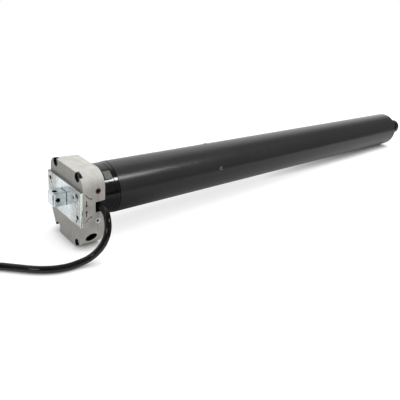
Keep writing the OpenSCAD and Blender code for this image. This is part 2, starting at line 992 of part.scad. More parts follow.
module limit_pinion() {
    color("ivory")
        translate([0, 0, pinion_at]) {
            gear(pinion_teeth, crown_tooth, pinion_x, pinion_x + pinion_w, backlash);
            rod(pinion_shaft_r, head_back - pinion_shaft_in, pinion_x + cut);
        }
}

// A cam on the pinion's shaft, with one flat-sided lobe
module cam(from, turn) {
    translate([0, 0, pinion_at])
        rotate([turn, 0, 0])
            difference() {
                union() {
                    rod(cam_lobe_r, from, from + cam_t);
                    intersection() {
                        rod(cam_r, from, from + cam_t);
                        translate([from, -cam_r, 0])
                            cube([cam_t, 2 * cam_r, cam_r]);
                    }
                }
                rod(pinion_shaft_r + seat, from - cut, from + cam_t + cut);
            }
}

module cam_up() {
    color("red")
        cam(cam_up_x, cam_up_turn);
}

module cam_down() {
    color("white")
        cam(cam_down_x, cam_down_turn);
}

module limit_switches() {
    middle = (cam_up_x + cam_t + cam_down_x) / 2;
    color("darkslategray") {
        switch_block(head_back, middle - seat, cam_up_x);
        switch_block(middle + seat, hub_end - hub_wall, cam_down_x);
    }
}

module switch_block(from, to, cam_x) {
    translate([from, switch_y, switch_z])
        cube([to - from, switch_w, switch_h]);
    translate([cam_x, switch_y - switch_button_h, pinion_at - 1])
        cube([cam_t, switch_button_h + seat, 2]);
}

module motor_tube() {
    color("dimgray")
        difference() {
            pipe(tube_r, tube_ir, tube_x, tube_end);
            at_tube_screws()
                cylinder(r = tube_screw_core_r + seat, h = tube_r);
        }
}

// Places children on the tube's screws, with +Z outwards
module at_tube_screws() {
    for (k = [0:tube_screw_n - 1])
        translate([tube_x + tube_screw_at, 0, 0])
            rotate([tube_screw_turn + 360 * k / tube_screw_n, 0, 0])
                children();
}

module tube_screws() {
    color("gray")
        at_tube_screws() {
            translate([0, 0, tube_r])
                cylinder(r1 = tube_screw_r, r2 = tube_screw_top_r, h = tube_screw_h);
            translate([0, 0, tube_ir - tube_screw_in])
                cylinder(r = tube_screw_core_r, h = tube_wall + tube_screw_in + tube_screw_h / 2);
        }
}

module capacitor() {
    color("gainsboro")
        rod(capacitor_r, capacitor_x, capacitor_x + capacitor_len);
}

module capacitor_cradle() {
    color("dimgray")
        for (x = [capacitor_x + cradle_w, capacitor_x + capacitor_len - 2 * cradle_w])
            pipe(fill_r, capacitor_r + seat, x, x + cradle_w);
}

module brake_pot() {
    color("gray") {
        difference() {
            rod(fill_r, pot_x, pot_end);
            rod(pot_bore_r, pot_x - cut, pot_end + cut);
            pipe(coil_out_r + seat, coil_in_r - seat, pot_end - coil_len, pot_end + cut);
        }
        around(guide_n, guide_at)
            rod(guide_r, pot_end - seat, disc_x);
    }
}

module brake_coil() {
    color("peru")
        pipe(coil_out_r, coil_in_r, pot_end - coil_len + seat, pot_end);
}

module brake_armature() {
    color("silver")
        difference() {
            pipe(armature_r, pot_bore_r, armature_x, armature_x + armature_t);
            around(guide_n, guide_at)
                rod(guide_r + run, armature_x - cut, armature_x + armature_t + cut);
        }
}

module brake_disc() {
    color("saddlebrown")
        pipe(disc_r - guide_r, shaft_r + seat, disc_x, disc_x + disc_t);
}

// An end shield of the motor, with its bearing's seat towards the stator
module bell(from, seat_x) {
    difference() {
        rod(fill_r, from, from + bell_len);
        rod(shaft_r + gap, from - cut, from + bell_len + cut);
        rod(bearing_r + seat, seat_x, seat_x + bearing_w);
        for (k = [1:bell_ports])
            rotate([360 * k / bell_ports, 0, 0])
                translate([0, 0, bell_port_at])
                    rod(bell_port_r, from - cut, from + bell_len + cut);
    }
}

module front_bell() {
    color("gray")
        difference() {
            bell(bell_x, bell_x + bell_len - bearing_w);
            at_tube_screws()
                translate([0, 0, tube_ir - tube_screw_in - gap])
                    cylinder(r = tube_screw_core_r + seat, h = 2 * tube_screw_in);
        }
}

module rear_bell() {
    color("gray")
        bell(rear_bell_x, rear_bell_x);
}

module motor_bearings() {
    color("silver") {
        pipe(bearing_r, shaft_r + run, bell_x + bell_len - bearing_w + seat, bell_x + bell_len);
        pipe(bearing_r, shaft_r + run, rear_bell_x, rear_bell_x + bearing_w - seat);
    }
}

module stator_core() {
    color("lightslategray")
        difference() {
            pipe(fill_r, rotor_r + air_gap, stator_x, stator_end);
            around(slot_n, slot_at)
                rod(slot_r, stator_x - cut, stator_end + cut);
        }
}

module stator_windings() {
    color("peru") {
        around(slot_n, slot_at)
            rod(wire_r, stator_x - cut, stator_end + cut);
        pipe(winding_out_r, winding_in_r, stator_x - winding_len, stator_x - (slot_r - wire_r));
        pipe(winding_out_r, winding_in_r, stator_end + slot_r - wire_r, stator_end + winding_len);
    }
}

module rotor_core() {
    color("slategray")
        difference() {
            union() {
                rod(rotor_r, stator_x, stator_end);
                rod(rotor_r - rotor_ring, stator_x - 4, stator_end + 4);
            }
            rod(shaft_r + seat, stator_x - 4 - cut, stator_end + 4 + cut);
        }
}

module motor_shaft() {
    color("silver") {
        rod(shaft_r, shaft_x, stage_1_x - 2);
        gear(sun_teeth, tooth, stage_1_x - 2 - seat, stage_1_x + planet_1_w - face_gap, backlash);
    }
}

module ring_gear() {
    color("slategray")
        difference() {
            rod(fill_r, ring_x, ring_end);
            gear_room(ring_teeth, tooth, ring_x - cut, ring_end + cut, backlash);
        }
}

// A planet gear on its pin, one of three in a stage
module planet(from, w, place) {
    rotate([120 * place, 0, 0])
        translate([0, 0, -planet_at])
            difference() {
                gear(planet_teeth, tooth, from, from + w, backlash, 180 / planet_teeth);
                rod(planet_bore_r, from - cut, from + w + cut);
            }
}

// A planet carrier: a plate with three pins
module carrier(from, plate_x, plate_end) {
    rod(carrier_r, plate_x, plate_end);
    for (k = [0:2])
        rotate([120 * k, 0, 0])
            translate([0, 0, -planet_at])
                rod(planet_bore_r - run, from, plate_x + seat);
}

module planet_1a() {
    color("gold")
        planet(stage_1_x, planet_1_w, 0);
}

module planet_1b() {
    color("gold")
        planet(stage_1_x, planet_1_w, 1);
}

module planet_1c() {
    color("gold")
        planet(stage_1_x, planet_1_w, 2);
}

module carrier_1() {
    color("silver") {
        carrier(stage_1_x, plate_1_x, plate_1_x + carrier_t);
        gear(sun_teeth, tooth, plate_1_x + cut, stage_2_x + planet_2_w - face_gap, backlash);
    }
}

module planet_2a() {
    color("gold")
        planet(stage_2_x, planet_2_w, 0);
}

module planet_2b() {
    color("gold")
        planet(stage_2_x, planet_2_w, 1);
}

module planet_2c() {
    color("gold")
        planet(stage_2_x, planet_2_w, 2);
}

module carrier_2() {
    color("silver") {
        carrier(stage_2_x, plate_2_x, plate_2_x + carrier_t);
        gear(sun_teeth, tooth, plate_2_x + cut, stage_3_x + planet_3_w - face_gap, backlash);
    }
}

module planet_3a() {
    color("gold")
        planet(stage_3_x, planet_3_w, 0);
}

module planet_3b() {
    color("gold")
        planet(stage_3_x, planet_3_w, 1);
}

module planet_3c() {
    color("gold")
        planet(stage_3_x, planet_3_w, 2);
}

module carrier_3() {
    color("silver")
        carrier(stage_3_x, plate_3_x, plate_3_end);
}

module output_shaft() {
    color("silver")
        difference() {
            rod(output_r, plate_3_end, shaft_tip);
            translate([output_hole_x, 0, 0])
                rotate([90, 0, 0])
                    cylinder(r = output_hole_r, h = 2 * output_r + 2 * cut, center = true);
            pipe(output_r + cut, output_r - clip_groove, clip_x - seat, clip_x + clip_t + seat);
        }
}

module output_housing() {
    color("gray")
        difference() {
            rod(fill_r, housing_x, housing_end);
            rod(output_r + gap, housing_x - cut, housing_end + cut);
            rod(output_r + output_bush_wall + seat, housing_x - cut, housing_x + output_bush_len);
            rod(output_r + output_bush_wall + seat, housing_end - output_bush_len, housing_end + cut);
        }
}

module output_bushes() {
    color("goldenrod")
        for (x = [housing_x, housing_end - output_bush_len + seat])
            pipe(output_r + output_bush_wall, output_r + run, x, x + output_bush_len - seat);
}

module end_cap() {
    color("dimgray")
        pipe(fill_r, output_r + gap, housing_end + seat, tube_end);
}

module output_clip() {
    color("silver")
        pipe(clip_r, output_r - clip_groove + seat, clip_x, clip_x + clip_t);
}

mounting_plate();
square_stub();
plate_screws();
head_cover();
head_housing();
head_screws();
red_adjuster();
white_adjuster();
crank_bush();
worm_bushes();
crank_worm();
cable_gland();
power_cable();
cable_coil();
cable_tie();
cable_cores();
crown_hub();
hub_screws();
crown_ring();
limit_pinion();
cam_up();
cam_down();
limit_switches();
worm_wheel();
drive_sleeve();
front_plug();
motor_tube();
tube_screws();
capacitor();
capacitor_cradle();
brake_pot();
brake_coil();
brake_armature();
brake_disc();
front_bell();
rear_bell();
motor_bearings();
stator_core();
stator_windings();
rotor_core();
motor_shaft();
ring_gear();
planet_1a();
planet_1b();
planet_1c();
carrier_1();
planet_2a();
planet_2b();
planet_2c();
carrier_2();
planet_3a();
planet_3b();
planet_3c();
carrier_3();
output_shaft();
output_housing();
output_bushes();
end_cap();
output_clip();
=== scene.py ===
import json
import math

import bpy
from bpy.props import FloatProperty, FloatVectorProperty, IntProperty, PointerProperty
from bpy.types import Operator, Panel, PropertyGroup
from mathutils import Matrix, Vector


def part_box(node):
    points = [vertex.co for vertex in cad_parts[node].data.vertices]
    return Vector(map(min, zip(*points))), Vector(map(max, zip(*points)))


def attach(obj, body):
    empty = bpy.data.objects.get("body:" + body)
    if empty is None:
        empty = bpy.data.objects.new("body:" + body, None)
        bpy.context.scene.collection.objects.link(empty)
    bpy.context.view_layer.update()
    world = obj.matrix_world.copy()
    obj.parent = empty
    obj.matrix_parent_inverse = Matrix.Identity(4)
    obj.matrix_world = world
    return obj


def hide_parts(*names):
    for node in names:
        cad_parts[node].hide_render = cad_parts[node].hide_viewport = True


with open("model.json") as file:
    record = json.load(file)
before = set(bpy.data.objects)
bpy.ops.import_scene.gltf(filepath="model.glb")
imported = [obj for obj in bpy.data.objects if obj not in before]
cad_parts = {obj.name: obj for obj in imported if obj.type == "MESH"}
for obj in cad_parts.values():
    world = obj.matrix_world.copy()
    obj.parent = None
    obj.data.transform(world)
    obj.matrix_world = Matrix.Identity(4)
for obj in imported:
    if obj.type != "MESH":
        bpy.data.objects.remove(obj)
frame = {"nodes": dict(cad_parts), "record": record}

bl_info = {
    "name": "Tubular blind motor",
    "version": (1, 0, 0),
    "blender": (4, 5, 0),
    "location": "3D View > Sidebar > Blind motor",
    "description": "Dresses a roller blind motor: cast head, zinc plate, tube, crown ring, lead",
    "category": "Object",
}

MM = 0.001
BLACK, WHITE = (0, 0, 0), (1, 1, 1)
NODES = frame["nodes"]
BODIES = frame["record"]["behaviour"]["bodies"]
BODY_OF = {node: body for body, nodes in BODIES.items() for node in nodes}
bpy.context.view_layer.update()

# The surface under the motor touches the head's rear lower edge and the tube's far end
COVER_LOW, COVER_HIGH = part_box("head_cover")
HEAD_LOW, HEAD_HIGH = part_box("head_housing")
TUBE_LOW, TUBE_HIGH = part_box("motor_tube")
FLOOR_PITCH = math.atan2(TUBE_LOW.z - HEAD_LOW.z, TUBE_HIGH.x - HEAD_HIGH.x)
FLOOR = Matrix.Translation((HEAD_HIGH.x, 0, HEAD_LOW.z)) @ Matrix.Rotation(-FLOOR_PITCH, 4, "Y")

# Route of the lead over that surface, from the gland in the head to the coil
LEAD_ROUTE = [
    (-0.004, -0.030, 0.050), (-0.004, -0.038, 0.050), (-0.004, -0.046, 0.048),
    (-0.006, -0.053, 0.044), (-0.009, -0.059, 0.037), (-0.013, -0.062, 0.029),
    (-0.018, -0.062, 0.020), (-0.025, -0.060, 0.012), (-0.033, -0.058, 0.007),
    (-0.042, -0.056, 0.0046), (-0.052, -0.055, 0.004), (-0.063, -0.052, 0.004),
    (-0.074, -0.046, 0.004), (-0.084, -0.038, 0.004), (-0.094, -0.028, 0.004),
    (-0.104, -0.018, 0.004), (-0.114, -0.009, 0.0042), (-0.124, 0.000, 0.0048),
    (-0.134, 0.009, 0.0054), (-0.144, 0.018, 0.0054),
]

# The coil: its radius, the step between turns and layers, the turns before it climbs to the second
# layer, the part of a turn that the climb takes, all its turns, and the place of its tie in turns
COIL_RADIUS = 0.054
COIL_STEP = 0.008
COIL_IN_TURNS = 3
COIL_CLIMB = 0.5
COIL_TURNS = 6
TIE_TURN = 0.55

# Marks on the side of the head, as places in millimetres along the axis and above it
ARROWS = [((7.6, 7.0), (7.6, 1.3)), ((7.6, -11.4), (7.6, -5.6))]
CURVED_ARROWS = [
    [(6.2, 14.0), (7.6, 12.4), (9.6, 10.1), (11.6, 8.6), (13.6, 7.9)],
    [(6.2, -18.0), (7.6, -16.8), (9.5, -14.4), (11.5, -13.4), (13.6, -12.8)],
]
INDEX_LINES = [(21.5, 23.2, 3.4), (21.5, -9.4, -30.8)]
BEND_STEPS = 5
LINE_STEPS = 16

# Shares of a mark's width: a curved arrow's stem and barb, and the radius of a barb
BEND_STEM = 0.8
BEND_BARB = 0.9
BARB_RADIUS = 1.6

# Segments in a quarter of a drawn line's round section
MARK_ROUNDNESS = 2
LEAD_ROUNDNESS = 6

# Rounding of the head's upper corners, and the tilt of the crank's hole
HEAD_CORNER = 0.018
CRANK_TILT = math.radians(28)

# Angles in degrees: an edge that counts as sharp, one that counts as a crease, and a flat join
SHARP = 35
CREASE = 60
FLAT = 0.4

# Points nearer than this are one, and tests of where an edge lies have this slack
MERGE = 2e-6
SLACK = 0.1 * MM

# Roundings of the smallest pieces
FINE_EDGE = 0.15 * MM
CAP_EDGE = 0.3 * MM
SHAFT_EDGE = 0.5 * MM
TIE_EDGE = 0.4 * MM
LOCK_EDGE = 0.35 * MM
CORE_EDGE = 0.1 * MM

# Least share of a face's normal along an axis, where it lies squarely or roughly across that axis
FACING = 0.9
LEANING = 0.5

# A core of the lead: its sides, and the slack in telling its copper from its skin
CORE_SIDES = 24
BARE_SLACK = 0.01 * MM

# The tie's lock, in shares of its size: the rim, slope and depth of its slot, its distance from the
# lead, and the lean and rise of the two stretches of its tail
SLOT_RIM = 0.3
SLOT_SLOPE = 0.02
SLOT_DEPTH = 0.2
LOCK_STAND = 0.85
TAIL_BENDS = ((0.15, 1), (0.3, 0.6))

# Hollows of the head: slack round them, the tilt that a wall of the crank's hole may have, and the
# share of an adjuster that its socket takes up, with the socket's least depth
HOLLOW_SLACK = 0.6 * MM
WALL_TILT = 0.3
SOCKET_SHARE = 0.56
SOCKET_DEPTH = 0.2 * MM

# The stub: slack at its foot, the thickness that counts as its wall, and the zone of its
# cross-holes, as distances from its end, its foot and its middle
FOOT_SLACK = 0.3 * MM
STUB_WALL = 1.2 * MM
HOLE_FROM_END = 2.4 * MM
HOLE_FROM_FOOT = 4.8 * MM
HOLE_REACH = 2.88 * MM

# The recess in a tube screw: slack at the screw's top, least area of the face that gets one, width
# of the rim, depth, and the slope of its wall as a share of the rim
TOP_SLACK = 0.3 * MM
RECESS_AREA = 3 * MM**2
RECESS_RIM = 0.22 * MM
RECESS_DEPTH = 0.7 * MM
RECESS_SLOPE = 0.1

# Height of the crown ring's raised key whose top gets a paler painted highlight
KEY_HEIGHT = 0.6 * MM

# Depths of the bumps in the finishes
GRAIN_DEPTH = 0.2 * MM
PEEL_DEPTH = 0.3 * MM
WINDING_DEPTH = 0.4 * MM

# The camera: its place, the directions to its right and up, the nearest and furthest distance that
# it shows, and its sensor in millimetres
CAMERA_PLACE = (-0.194553, -0.412375, 0.207519)
CAMERA_RIGHT = Vector((0.74698, -0.65730, 0.09986))
CAMERA_UP = Vector((0.20456, 0.37014, 0.90618))
CAMERA_CLIP = (0.01, 60)
CAMERA_SENSOR = 36

# Each lamp's place, the point that it faces, and its width
LAMPS = {
    "overhead": ((0.5, -0.1, 2.0), (0.2, 0.0, 0.0), 2.0),
    "window": ((-1.12, -0.62, 0.80), (0.0, 0.0, 0.0), 0.30),
    "softbox": ((0.78, -0.80, 1.03), (0.08, 0.0, 0.0), 0.26),
}

# The floor: its radius and sides, the middle of what is seen of it, and the distances from there
# between which it goes over into white
FLOOR_RADIUS = 12
FLOOR_SIDES = 64
FLOOR_MIDDLE = (0.35, 0.0, 0.0)
WHITE_SPAN = (0.5, 1.3)

# White of the floor in reflections: its share in front of the motor, what is added beside the crown
# ring, along the tube and left of the head, over stretches in metres from the head, the stretch to
# full white behind the motor, and the fade at the paper's near edge
FRONT_WHITE = 0.10
RING_WHITE, RING_SPAN = 0.22, (0.05, 0.12)
TUBE_WHITE, TUBE_SPAN = 0.26, (0.12, 0.6)
LEFT_WHITE, LEFT_SPAN, LEFT_SLANT = 0.85, (0.0, -0.04), 0.5
BEHIND_SPAN = (0.0, 0.13)
PAPER_FADE = 0.1

# Directions, as their share to the back, between which the dim room goes over into the backdrop
BACKDROP_SPAN = (0.0, 0.5)


class Wire:
    """A value in a material's node tree, with its arithmetic written as Python."""

    def __init__(self, finish, socket):
        self.finish = finish
        self.socket = socket

    def _math(self, operation, first, second):
        return self.finish.node("Math", {"operation": operation}, {0: first, 1: second})

    def __add__(self, other):
        return self._math("ADD", self, other)

    def __sub__(self, other):
        return self._math("SUBTRACT", self, other)

    def __rsub__(self, other):
        return self._math("SUBTRACT", other, self)

    def __mul__(self, other):
        return self._math("MULTIPLY", self, other)

    __radd__ = __add__
    __rmul__ = __mul__


class Finish:
    """One procedural material, or the world: its nodes, and the shader that they feed."""

    def __init__(self, name="finish", owner=None, shader="Principled BSDF"):
        self.material = owner or bpy.data.materials.new(name)
        self.material.use_nodes = True
        self.tree = self.material.node_tree
        self.shader = self.tree.nodes[shader]
        self.coords = None

    def node(self, kind, settings=None, inputs=None, output=0):
        """Adds a shader node with its settings, feeds its sockets, and gives one output."""
        made = self.tree.nodes.new(f"ShaderNode{kind}")
        for key, value in (settings or {}).items():
            setattr(made, key, value)
        for key, value in (inputs or {}).items():
            self.feed(made.inputs[key], value)
        return Wire(self, made.outputs[output])

    def feed(self, socket, value):
        """Links a wire to a socket, or sets the socket to a plain value."""
        if isinstance(value, Wire):
            self.tree.links.new(value.socket, socket)
        elif socket.type == "RGBA":
            socket.default_value = (*value, 1.0)
        else:
            socket.default_value = value

    def place(self, scale=(1, 1, 1)):
        """The place on the piece, in metres, with each axis scaled."""
        if self.coords is None:
            self.coords = self.node("TexCoord", output="Object")
        return self.node("Mapping", None, {"Vector": self.coords, "Scale": scale})

    def along(self, axis):
        """The place on the piece along one axis, in metres."""
        return self.node("SeparateXYZ", None, {"Vector": self.place()}, axis)

    def noise(self, size, detail, stretch=(1, 1, 1)):
        """Even noise, from nought to one, with features of about that size in metres."""
        inputs = {"Vector": self.place(stretch), "Scale": 1 / size, "Detail": detail}
        return self.node("TexNoise", None, inputs)

    def cells(self, size):
        """The distance from the middles of cells of about that size in metres."""
        return self.node("TexVoronoi", None, {"Vector": self.place(), "Scale": 1 / size})

    def bands(self, direction, scale, distortion=0.0):
        """Even waves in one direction."""
        inputs = {"Vector": self.place(), "Scale": scale, "Distortion": distortion}
        return self.node("TexWave", {"bands_direction": direction}, inputs)

    def ramp(self, value, low, high, kind="LINEAR"):
        """Spreads a value between two limits to the range from nought to one."""
        limits = {"Value": value, "From Min": low, "From Max": high}
        return self.node("MapRange", {"interpolation_type": kind}, limits)

    def ray(self, kind):
        """Whether the light path has the given kind of ray."""
        return self.node("LightPath", output=f"Is {kind} Ray")

    def mix(self, share, first, second):
        """A share of the second colour over the first."""
        return self.node("Mix", {"data_type": "RGBA"}, {0: share, 6: first, 7: second}, 2)

    def bump(self, height, strength, distance=GRAIN_DEPTH):
        """A normal that follows a height."""
        inputs = {"Height": height, "Strength": strength, "Distance": distance}
        return self.node("Bump", None, inputs)

    def shade(self, **inputs):
        """Feeds the shader, by the names of its sockets with spaces as underscores."""
        for key, value in inputs.items():
            self.feed(self.shader.inputs[key.replace("_", " ")], value)
        return self.material


def colour_of(name, description, default):
    """A property that holds a colour."""
    return FloatVectorProperty(
        name=name, description=description, subtype="COLOR", size=3, default=default)


def length_of(name, description, millimetres):
    """A property that holds a length, with its default in millimetres."""
    return FloatProperty(
        name=name, description=description, subtype="DISTANCE", unit="LENGTH",
        default=millimetres * MM)


def number_of(name, description, default, subtype="NONE"):
    """A property that holds a plain number, a share or a power."""
    return FloatProperty(name=name, description=description, subtype=subtype, default=default)


class MotorFinishes(PropertyGroup):
    """Colours of the motor's finishes."""

    cast_alloy: colour_of("Cast alloy", "Die-cast head", (0.565, 0.556, 0.528))
    zinc: colour_of("Zinc", "Plated plate and stub", (0.70, 0.75, 0.77))
    tube_black: colour_of("Tube black", "Satin paint of the tube", (0.023, 0.023, 0.023))
    ring_black: colour_of("Ring black", "Moulded crown ring", (0.006, 0.006, 0.0062))
    sheath_black: colour_of("Sheath black", "Sheath of the lead", (0.006, 0.0055, 0.005))
    adjuster_red: colour_of("Adjuster red", "Upper limit adjuster", (0.075, 0.004, 0.008))
    adjuster_white: colour_of("Adjuster white", "Lower limit adjuster", (0.92, 0.91, 0.88))
    core_live: colour_of(
        "Core, up", "Insulation of the core for one direction", (0.10, 0.03, 0.012))
    core_other: colour_of(
        "Core, down", "Insulation of the core for the other direction", (0.012, 0.012, 0.012))
    core_neutral: colour_of(
        "Core, neutral", "Insulation of the neutral core", (0.02, 0.10, 0.42))
    core_earth: colour_of("Core, earth", "Insulation of the earth core", (0.55, 0.50, 0.02))


class MotorEdges(PropertyGroup):
    """Roundings of the motor's edges, reaches of its hollows and widths of its marks."""

    cast_edge: length_of("Cast edge", "Rounding of the head's edges", 0.6)
    plate_edge: length_of("Plate edge", "Rounding of the plate's edges", 0.7)
    stub_edge: length_of("Stub edge", "Rounding of the stub's edges", 0.35)
    groove: length_of("Groove", "Groove at the foot of the stub", 0.5)
    trim_edge: length_of("Trim edge", "Rounding of small parts", 0.25)
    ring_edge: length_of("Ring edge", "Rounding of the edges of the crown ring and tube", 0.4)
    seam_edge: length_of("Seam edge", "Edge at the joint of the head's halves", 0.2)
    pocket_reach: length_of("Pocket reach", "Reach of a screw pocket from its screw", 5.6)
    rim_reach: length_of("Rim reach", "Reach of an adjuster's rim from its middle", 3.6)
    crank_reach: length_of("Crank reach", "Reach of the crank's hole from its middle", 6.8)
    mark_width: length_of("Mark width", "Width of the arrows cut in the head", 1.1)
    line_width: length_of("Line width", "Width of the lines through the adjusters", 0.35)


class MotorLead(PropertyGroup):
    """Sizes of the lead, its cores and its tie."""

    diameter: length_of("Diameter", "Diameter of the lead", 7.5)
    steps: IntProperty(
        name="Steps", description="Points drawn between two points of the route",
        default=4, min=1, max=12)
    turn_points: IntProperty(
        name="Turn points", description="Points drawn in each turn of the coil",
        default=36, min=12, max=96)
    core_diameter: length_of("Core diameter", "Diameter of each core", 2.2)
    core_circle: length_of("Core circle", "Radius on which the cores lie", 1.8)
    core_length: length_of("Core length", "Length of the cores outside the sheath", 22)
    bare_length: length_of("Bare length", "Length of bare copper", 6)
    core_skin: length_of("Core skin", "Thickness of the cores' insulation", 0.4)
    tie_lock: FloatVectorProperty(
        name="Tie lock", description="Size of the lock of the cable tie", subtype="XYZ",
        unit="LENGTH", size=3, default=(4.2 * MM, 6.4 * MM, 5.4 * MM))
    tie_tail: length_of("Tie tail", "Length of the tie's tail", 9)


class MotorStage(PropertyGroup):
    """Camera, floor and light."""

    lens: number_of("Lens", "Focal length of the camera in millimetres", 40.205)
    floor_tone: colour_of("Floor", "Colour of the floor as it is seen", (0.32, 0.32, 0.32))
    floor_bounce: colour_of(
        "Floor bounce", "Colour that the floor throws back on the motor", (0.30, 0.30, 0.30))
    floor_glow: number_of("Floor glow", "Light of the lit table under the motor", 0.79)
    table_light: number_of(
        "Table light", "Share of the table's light that falls on the motor", 0.64, "FACTOR")
    contact: length_of("Contact", "Reach of the dark line where the motor rests", 13)
    paper_edge: length_of("Paper edge", "Where the white paper ends in front of the motor", 220)
    sky: number_of("Sky", "Strength of the light from all round", 0.10)
    room: number_of("Room", "Strength of the dim side of the room in reflections", 0.12)
    overhead: number_of("Overhead", "Power of the wide lamp overhead", 60.0, "POWER")
    window: number_of("Window", "Power of the small window at the left", 2.0, "POWER")
    softbox: number_of("Softbox", "Power of the small softbox at the side", 3.0, "POWER")


def mode(name):
    bpy.ops.object.mode_set(mode=name)


def deselect():
    """Leaves edit mode, with nothing selected."""
    if bpy.context.mode != "OBJECT":
        mode("OBJECT")
    bpy.ops.object.select_all(action="DESELECT")


def take(piece):
    """Selects one piece, and nothing else."""
    deselect()
    piece.select_set(True)
    bpy.context.view_layer.objects.active = piece
    return piece


def add_object(name, data):
    """A new object in the scene."""
    made = bpy.data.objects.new(name, data)
    bpy.context.scene.collection.objects.link(made)
    return made


def dress(piece, material):
    """Gives a piece one finish all over."""
    piece.data.materials.clear()
    piece.data.materials.append(material)
    return piece


def pick(piece, wanted):
    """Selects the faces of a piece that pass a test, and leaves it in edit mode."""
    take(piece)
    mode("EDIT")
    bpy.ops.mesh.select_mode(type="FACE")
    bpy.ops.mesh.select_all(action="DESELECT")
    mode("OBJECT")
    for face in piece.data.polygons:
        face.select = wanted(face)
    mode("EDIT")


def round_edges(piece, width, angle=SHARP, segments=3, leave=None):
    """Rounds a piece's sharp edges, apart from those to leave, and smooths its shading."""
    take(piece)
    mode("EDIT")
    bpy.ops.mesh.select_mode(type="EDGE")
    bpy.ops.mesh.select_all(action="DESELECT")
    bpy.ops.mesh.edges_select_sharp(sharpness=math.radians(angle))
    mode("OBJECT")
    if leave:
        spots = piece.data.vertices
        for edge in piece.data.edges:
            middle = sum((spots[v].co for v in edge.vertices), Vector()) / 2
            edge.select = edge.select and not leave(middle)
    mode("EDIT")
    bpy.ops.mesh.bevel(offset=width, segments=segments, affect="EDGES", clamp_overlap=True)
    mode("OBJECT")
    smooth_faces(piece, angle)


def smooth_faces(piece, angle=SHARP):
    """Smooths a piece's shading, and keeps its large faces flat."""
    take(piece)
    bpy.ops.mesh.customdata_custom_splitnormals_clear()
    bpy.ops.object.shade_smooth_by_angle(angle=math.radians(angle))
    even = piece.modifiers.new("Flat faces", "WEIGHTED_NORMAL")
    even.keep_sharp = True
    even.weight = 100
    bpy.ops.object.modifier_apply(modifier=even.name)


def worked_copy(node, name, make, width, leave=None, first=None):
    """A copy of a CAD node with a finish, its triangles joined and its sharp edges rounded.

    Edges to leave stay as they are, and what comes first is done to the copy before the rounding.
    """
    piece = take(add_object(name, NODES[node].data.copy()))
    bpy.ops.mesh.customdata_custom_splitnormals_clear()
    mode("EDIT")
    bpy.ops.mesh.select_all(action="SELECT")
    bpy.ops.mesh.remove_doubles(threshold=MERGE)
    bpy.ops.mesh.dissolve_limited(angle_limit=math.radians(FLAT))
    mode("OBJECT")
    if first:
        first(piece)
    round_edges(piece, width, leave=leave)
    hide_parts(node)
    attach(piece, BODY_OF[node])
    return dress(piece, shared(make))


def paint_faces(piece, make, wanted):
    """Gives the faces of a piece that pass a test a finish of their own."""
    piece.data.materials.append(shared(make))
    slot = len(piece.data.materials) - 1
    for face in piece.data.polygons:
        if wanted(face):
            face.material_index = slot


def sink(piece, make, wanted):
    """Sinks a recess with a painted floor into each chosen face of a piece, inside a rim."""
    pick(piece, wanted)
    bpy.ops.mesh.inset(thickness=RECESS_RIM, use_individual=True)
    bpy.ops.mesh.inset(
        thickness=RECESS_RIM * RECESS_SLOPE, depth=-RECESS_DEPTH, use_individual=True)
    mode("OBJECT")
    paint_faces(piece, make, lambda face: face.select)


def middle_of(node):
    """The middle of a CAD node's box."""
    return sum(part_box(node), Vector()) / 2


def screw_axes(node):
    """The middles of a node's screws, one in each quarter of the head."""
    quarters = {}
    for spot in NODES[node].data.vertices:
        quarters.setdefault((spot.co.y > 0, spot.co.z > 0), []).append(spot.co)
    return [sum(spots, Vector()) / len(spots) for spots in quarters.values()]


def finishes():
    return bpy.context.scene.motor_finishes


def edges():
    return bpy.context.scene.motor_edges


def tinted(colour, tint):
    """A colour times a tint, which is one number, or one for each channel."""
    shares = tint if isinstance(tint, tuple) else (tint,) * 3
    return tuple(min(1.0, c * s) for c, s in zip(colour, shares))


def cast_alloy():
    """Blasted die-cast alloy: a fine grain, warm flow marks, soft patches, specks and pits."""
    f = Finish()
    colour = tuple(finishes().cast_alloy)
    patches = f.ramp(f.noise(0.012, 4), 0.35, 0.66)
    flow = f.ramp(f.noise(0.02, 3), 0.5, 0.7)
    grain = f.noise(0.0006, 3)
    specks = f.ramp(f.noise(0.0011, 2), 0.66, 0.74)
    pits = f.ramp(f.cells(0.004), 0.14, 0.09) * f.ramp(f.noise(0.02, 2), 0.48, 0.6)
    tone = f.mix(patches, tinted(colour, (0.78, 0.78, 0.755)), colour)
    tone = f.mix(flow * 0.5, tone, tinted(colour, (0.96, 0.90, 0.86)))
    tone = f.mix(f.ramp(grain, 0.55, 0.8) * 0.3, tone, tinted(colour, 1.25))
    tone = f.mix(specks * 0.35, tone, tinted(colour, 0.55))
    tone = f.mix(pits * 0.4, tone, tinted(colour, 0.4))
    return f.shade(
        Base_Color=tone, Metallic=0.15, Roughness=0.52 + 0.12 * patches,
        Normal=f.bump(grain, 0.3))


def raw_casting():
    """Painted shade inside the screw pockets: dark and blotchy, with a painted highlight at the
    screw's seat.
    """
    f = Finish()
    stain = f.ramp(f.noise(0.003, 3), 0.35, 0.7)
    # Deep faces at the screw's seat get a pale painted highlight
    seat_glint = f.ramp(f.along("X"), 0.0062, 0.0078)
    tone = f.mix(stain, (0.010, 0.010, 0.009), (0.030, 0.029, 0.026))
    tone = f.mix(seat_glint, tone, (0.48, 0.47, 0.45))
    return f.shade(
        Base_Color=tone, Roughness=0.6 + 0.2 * stain, Specular_IOR_Level=0.2,
        Normal=f.bump(stain, 0.2))


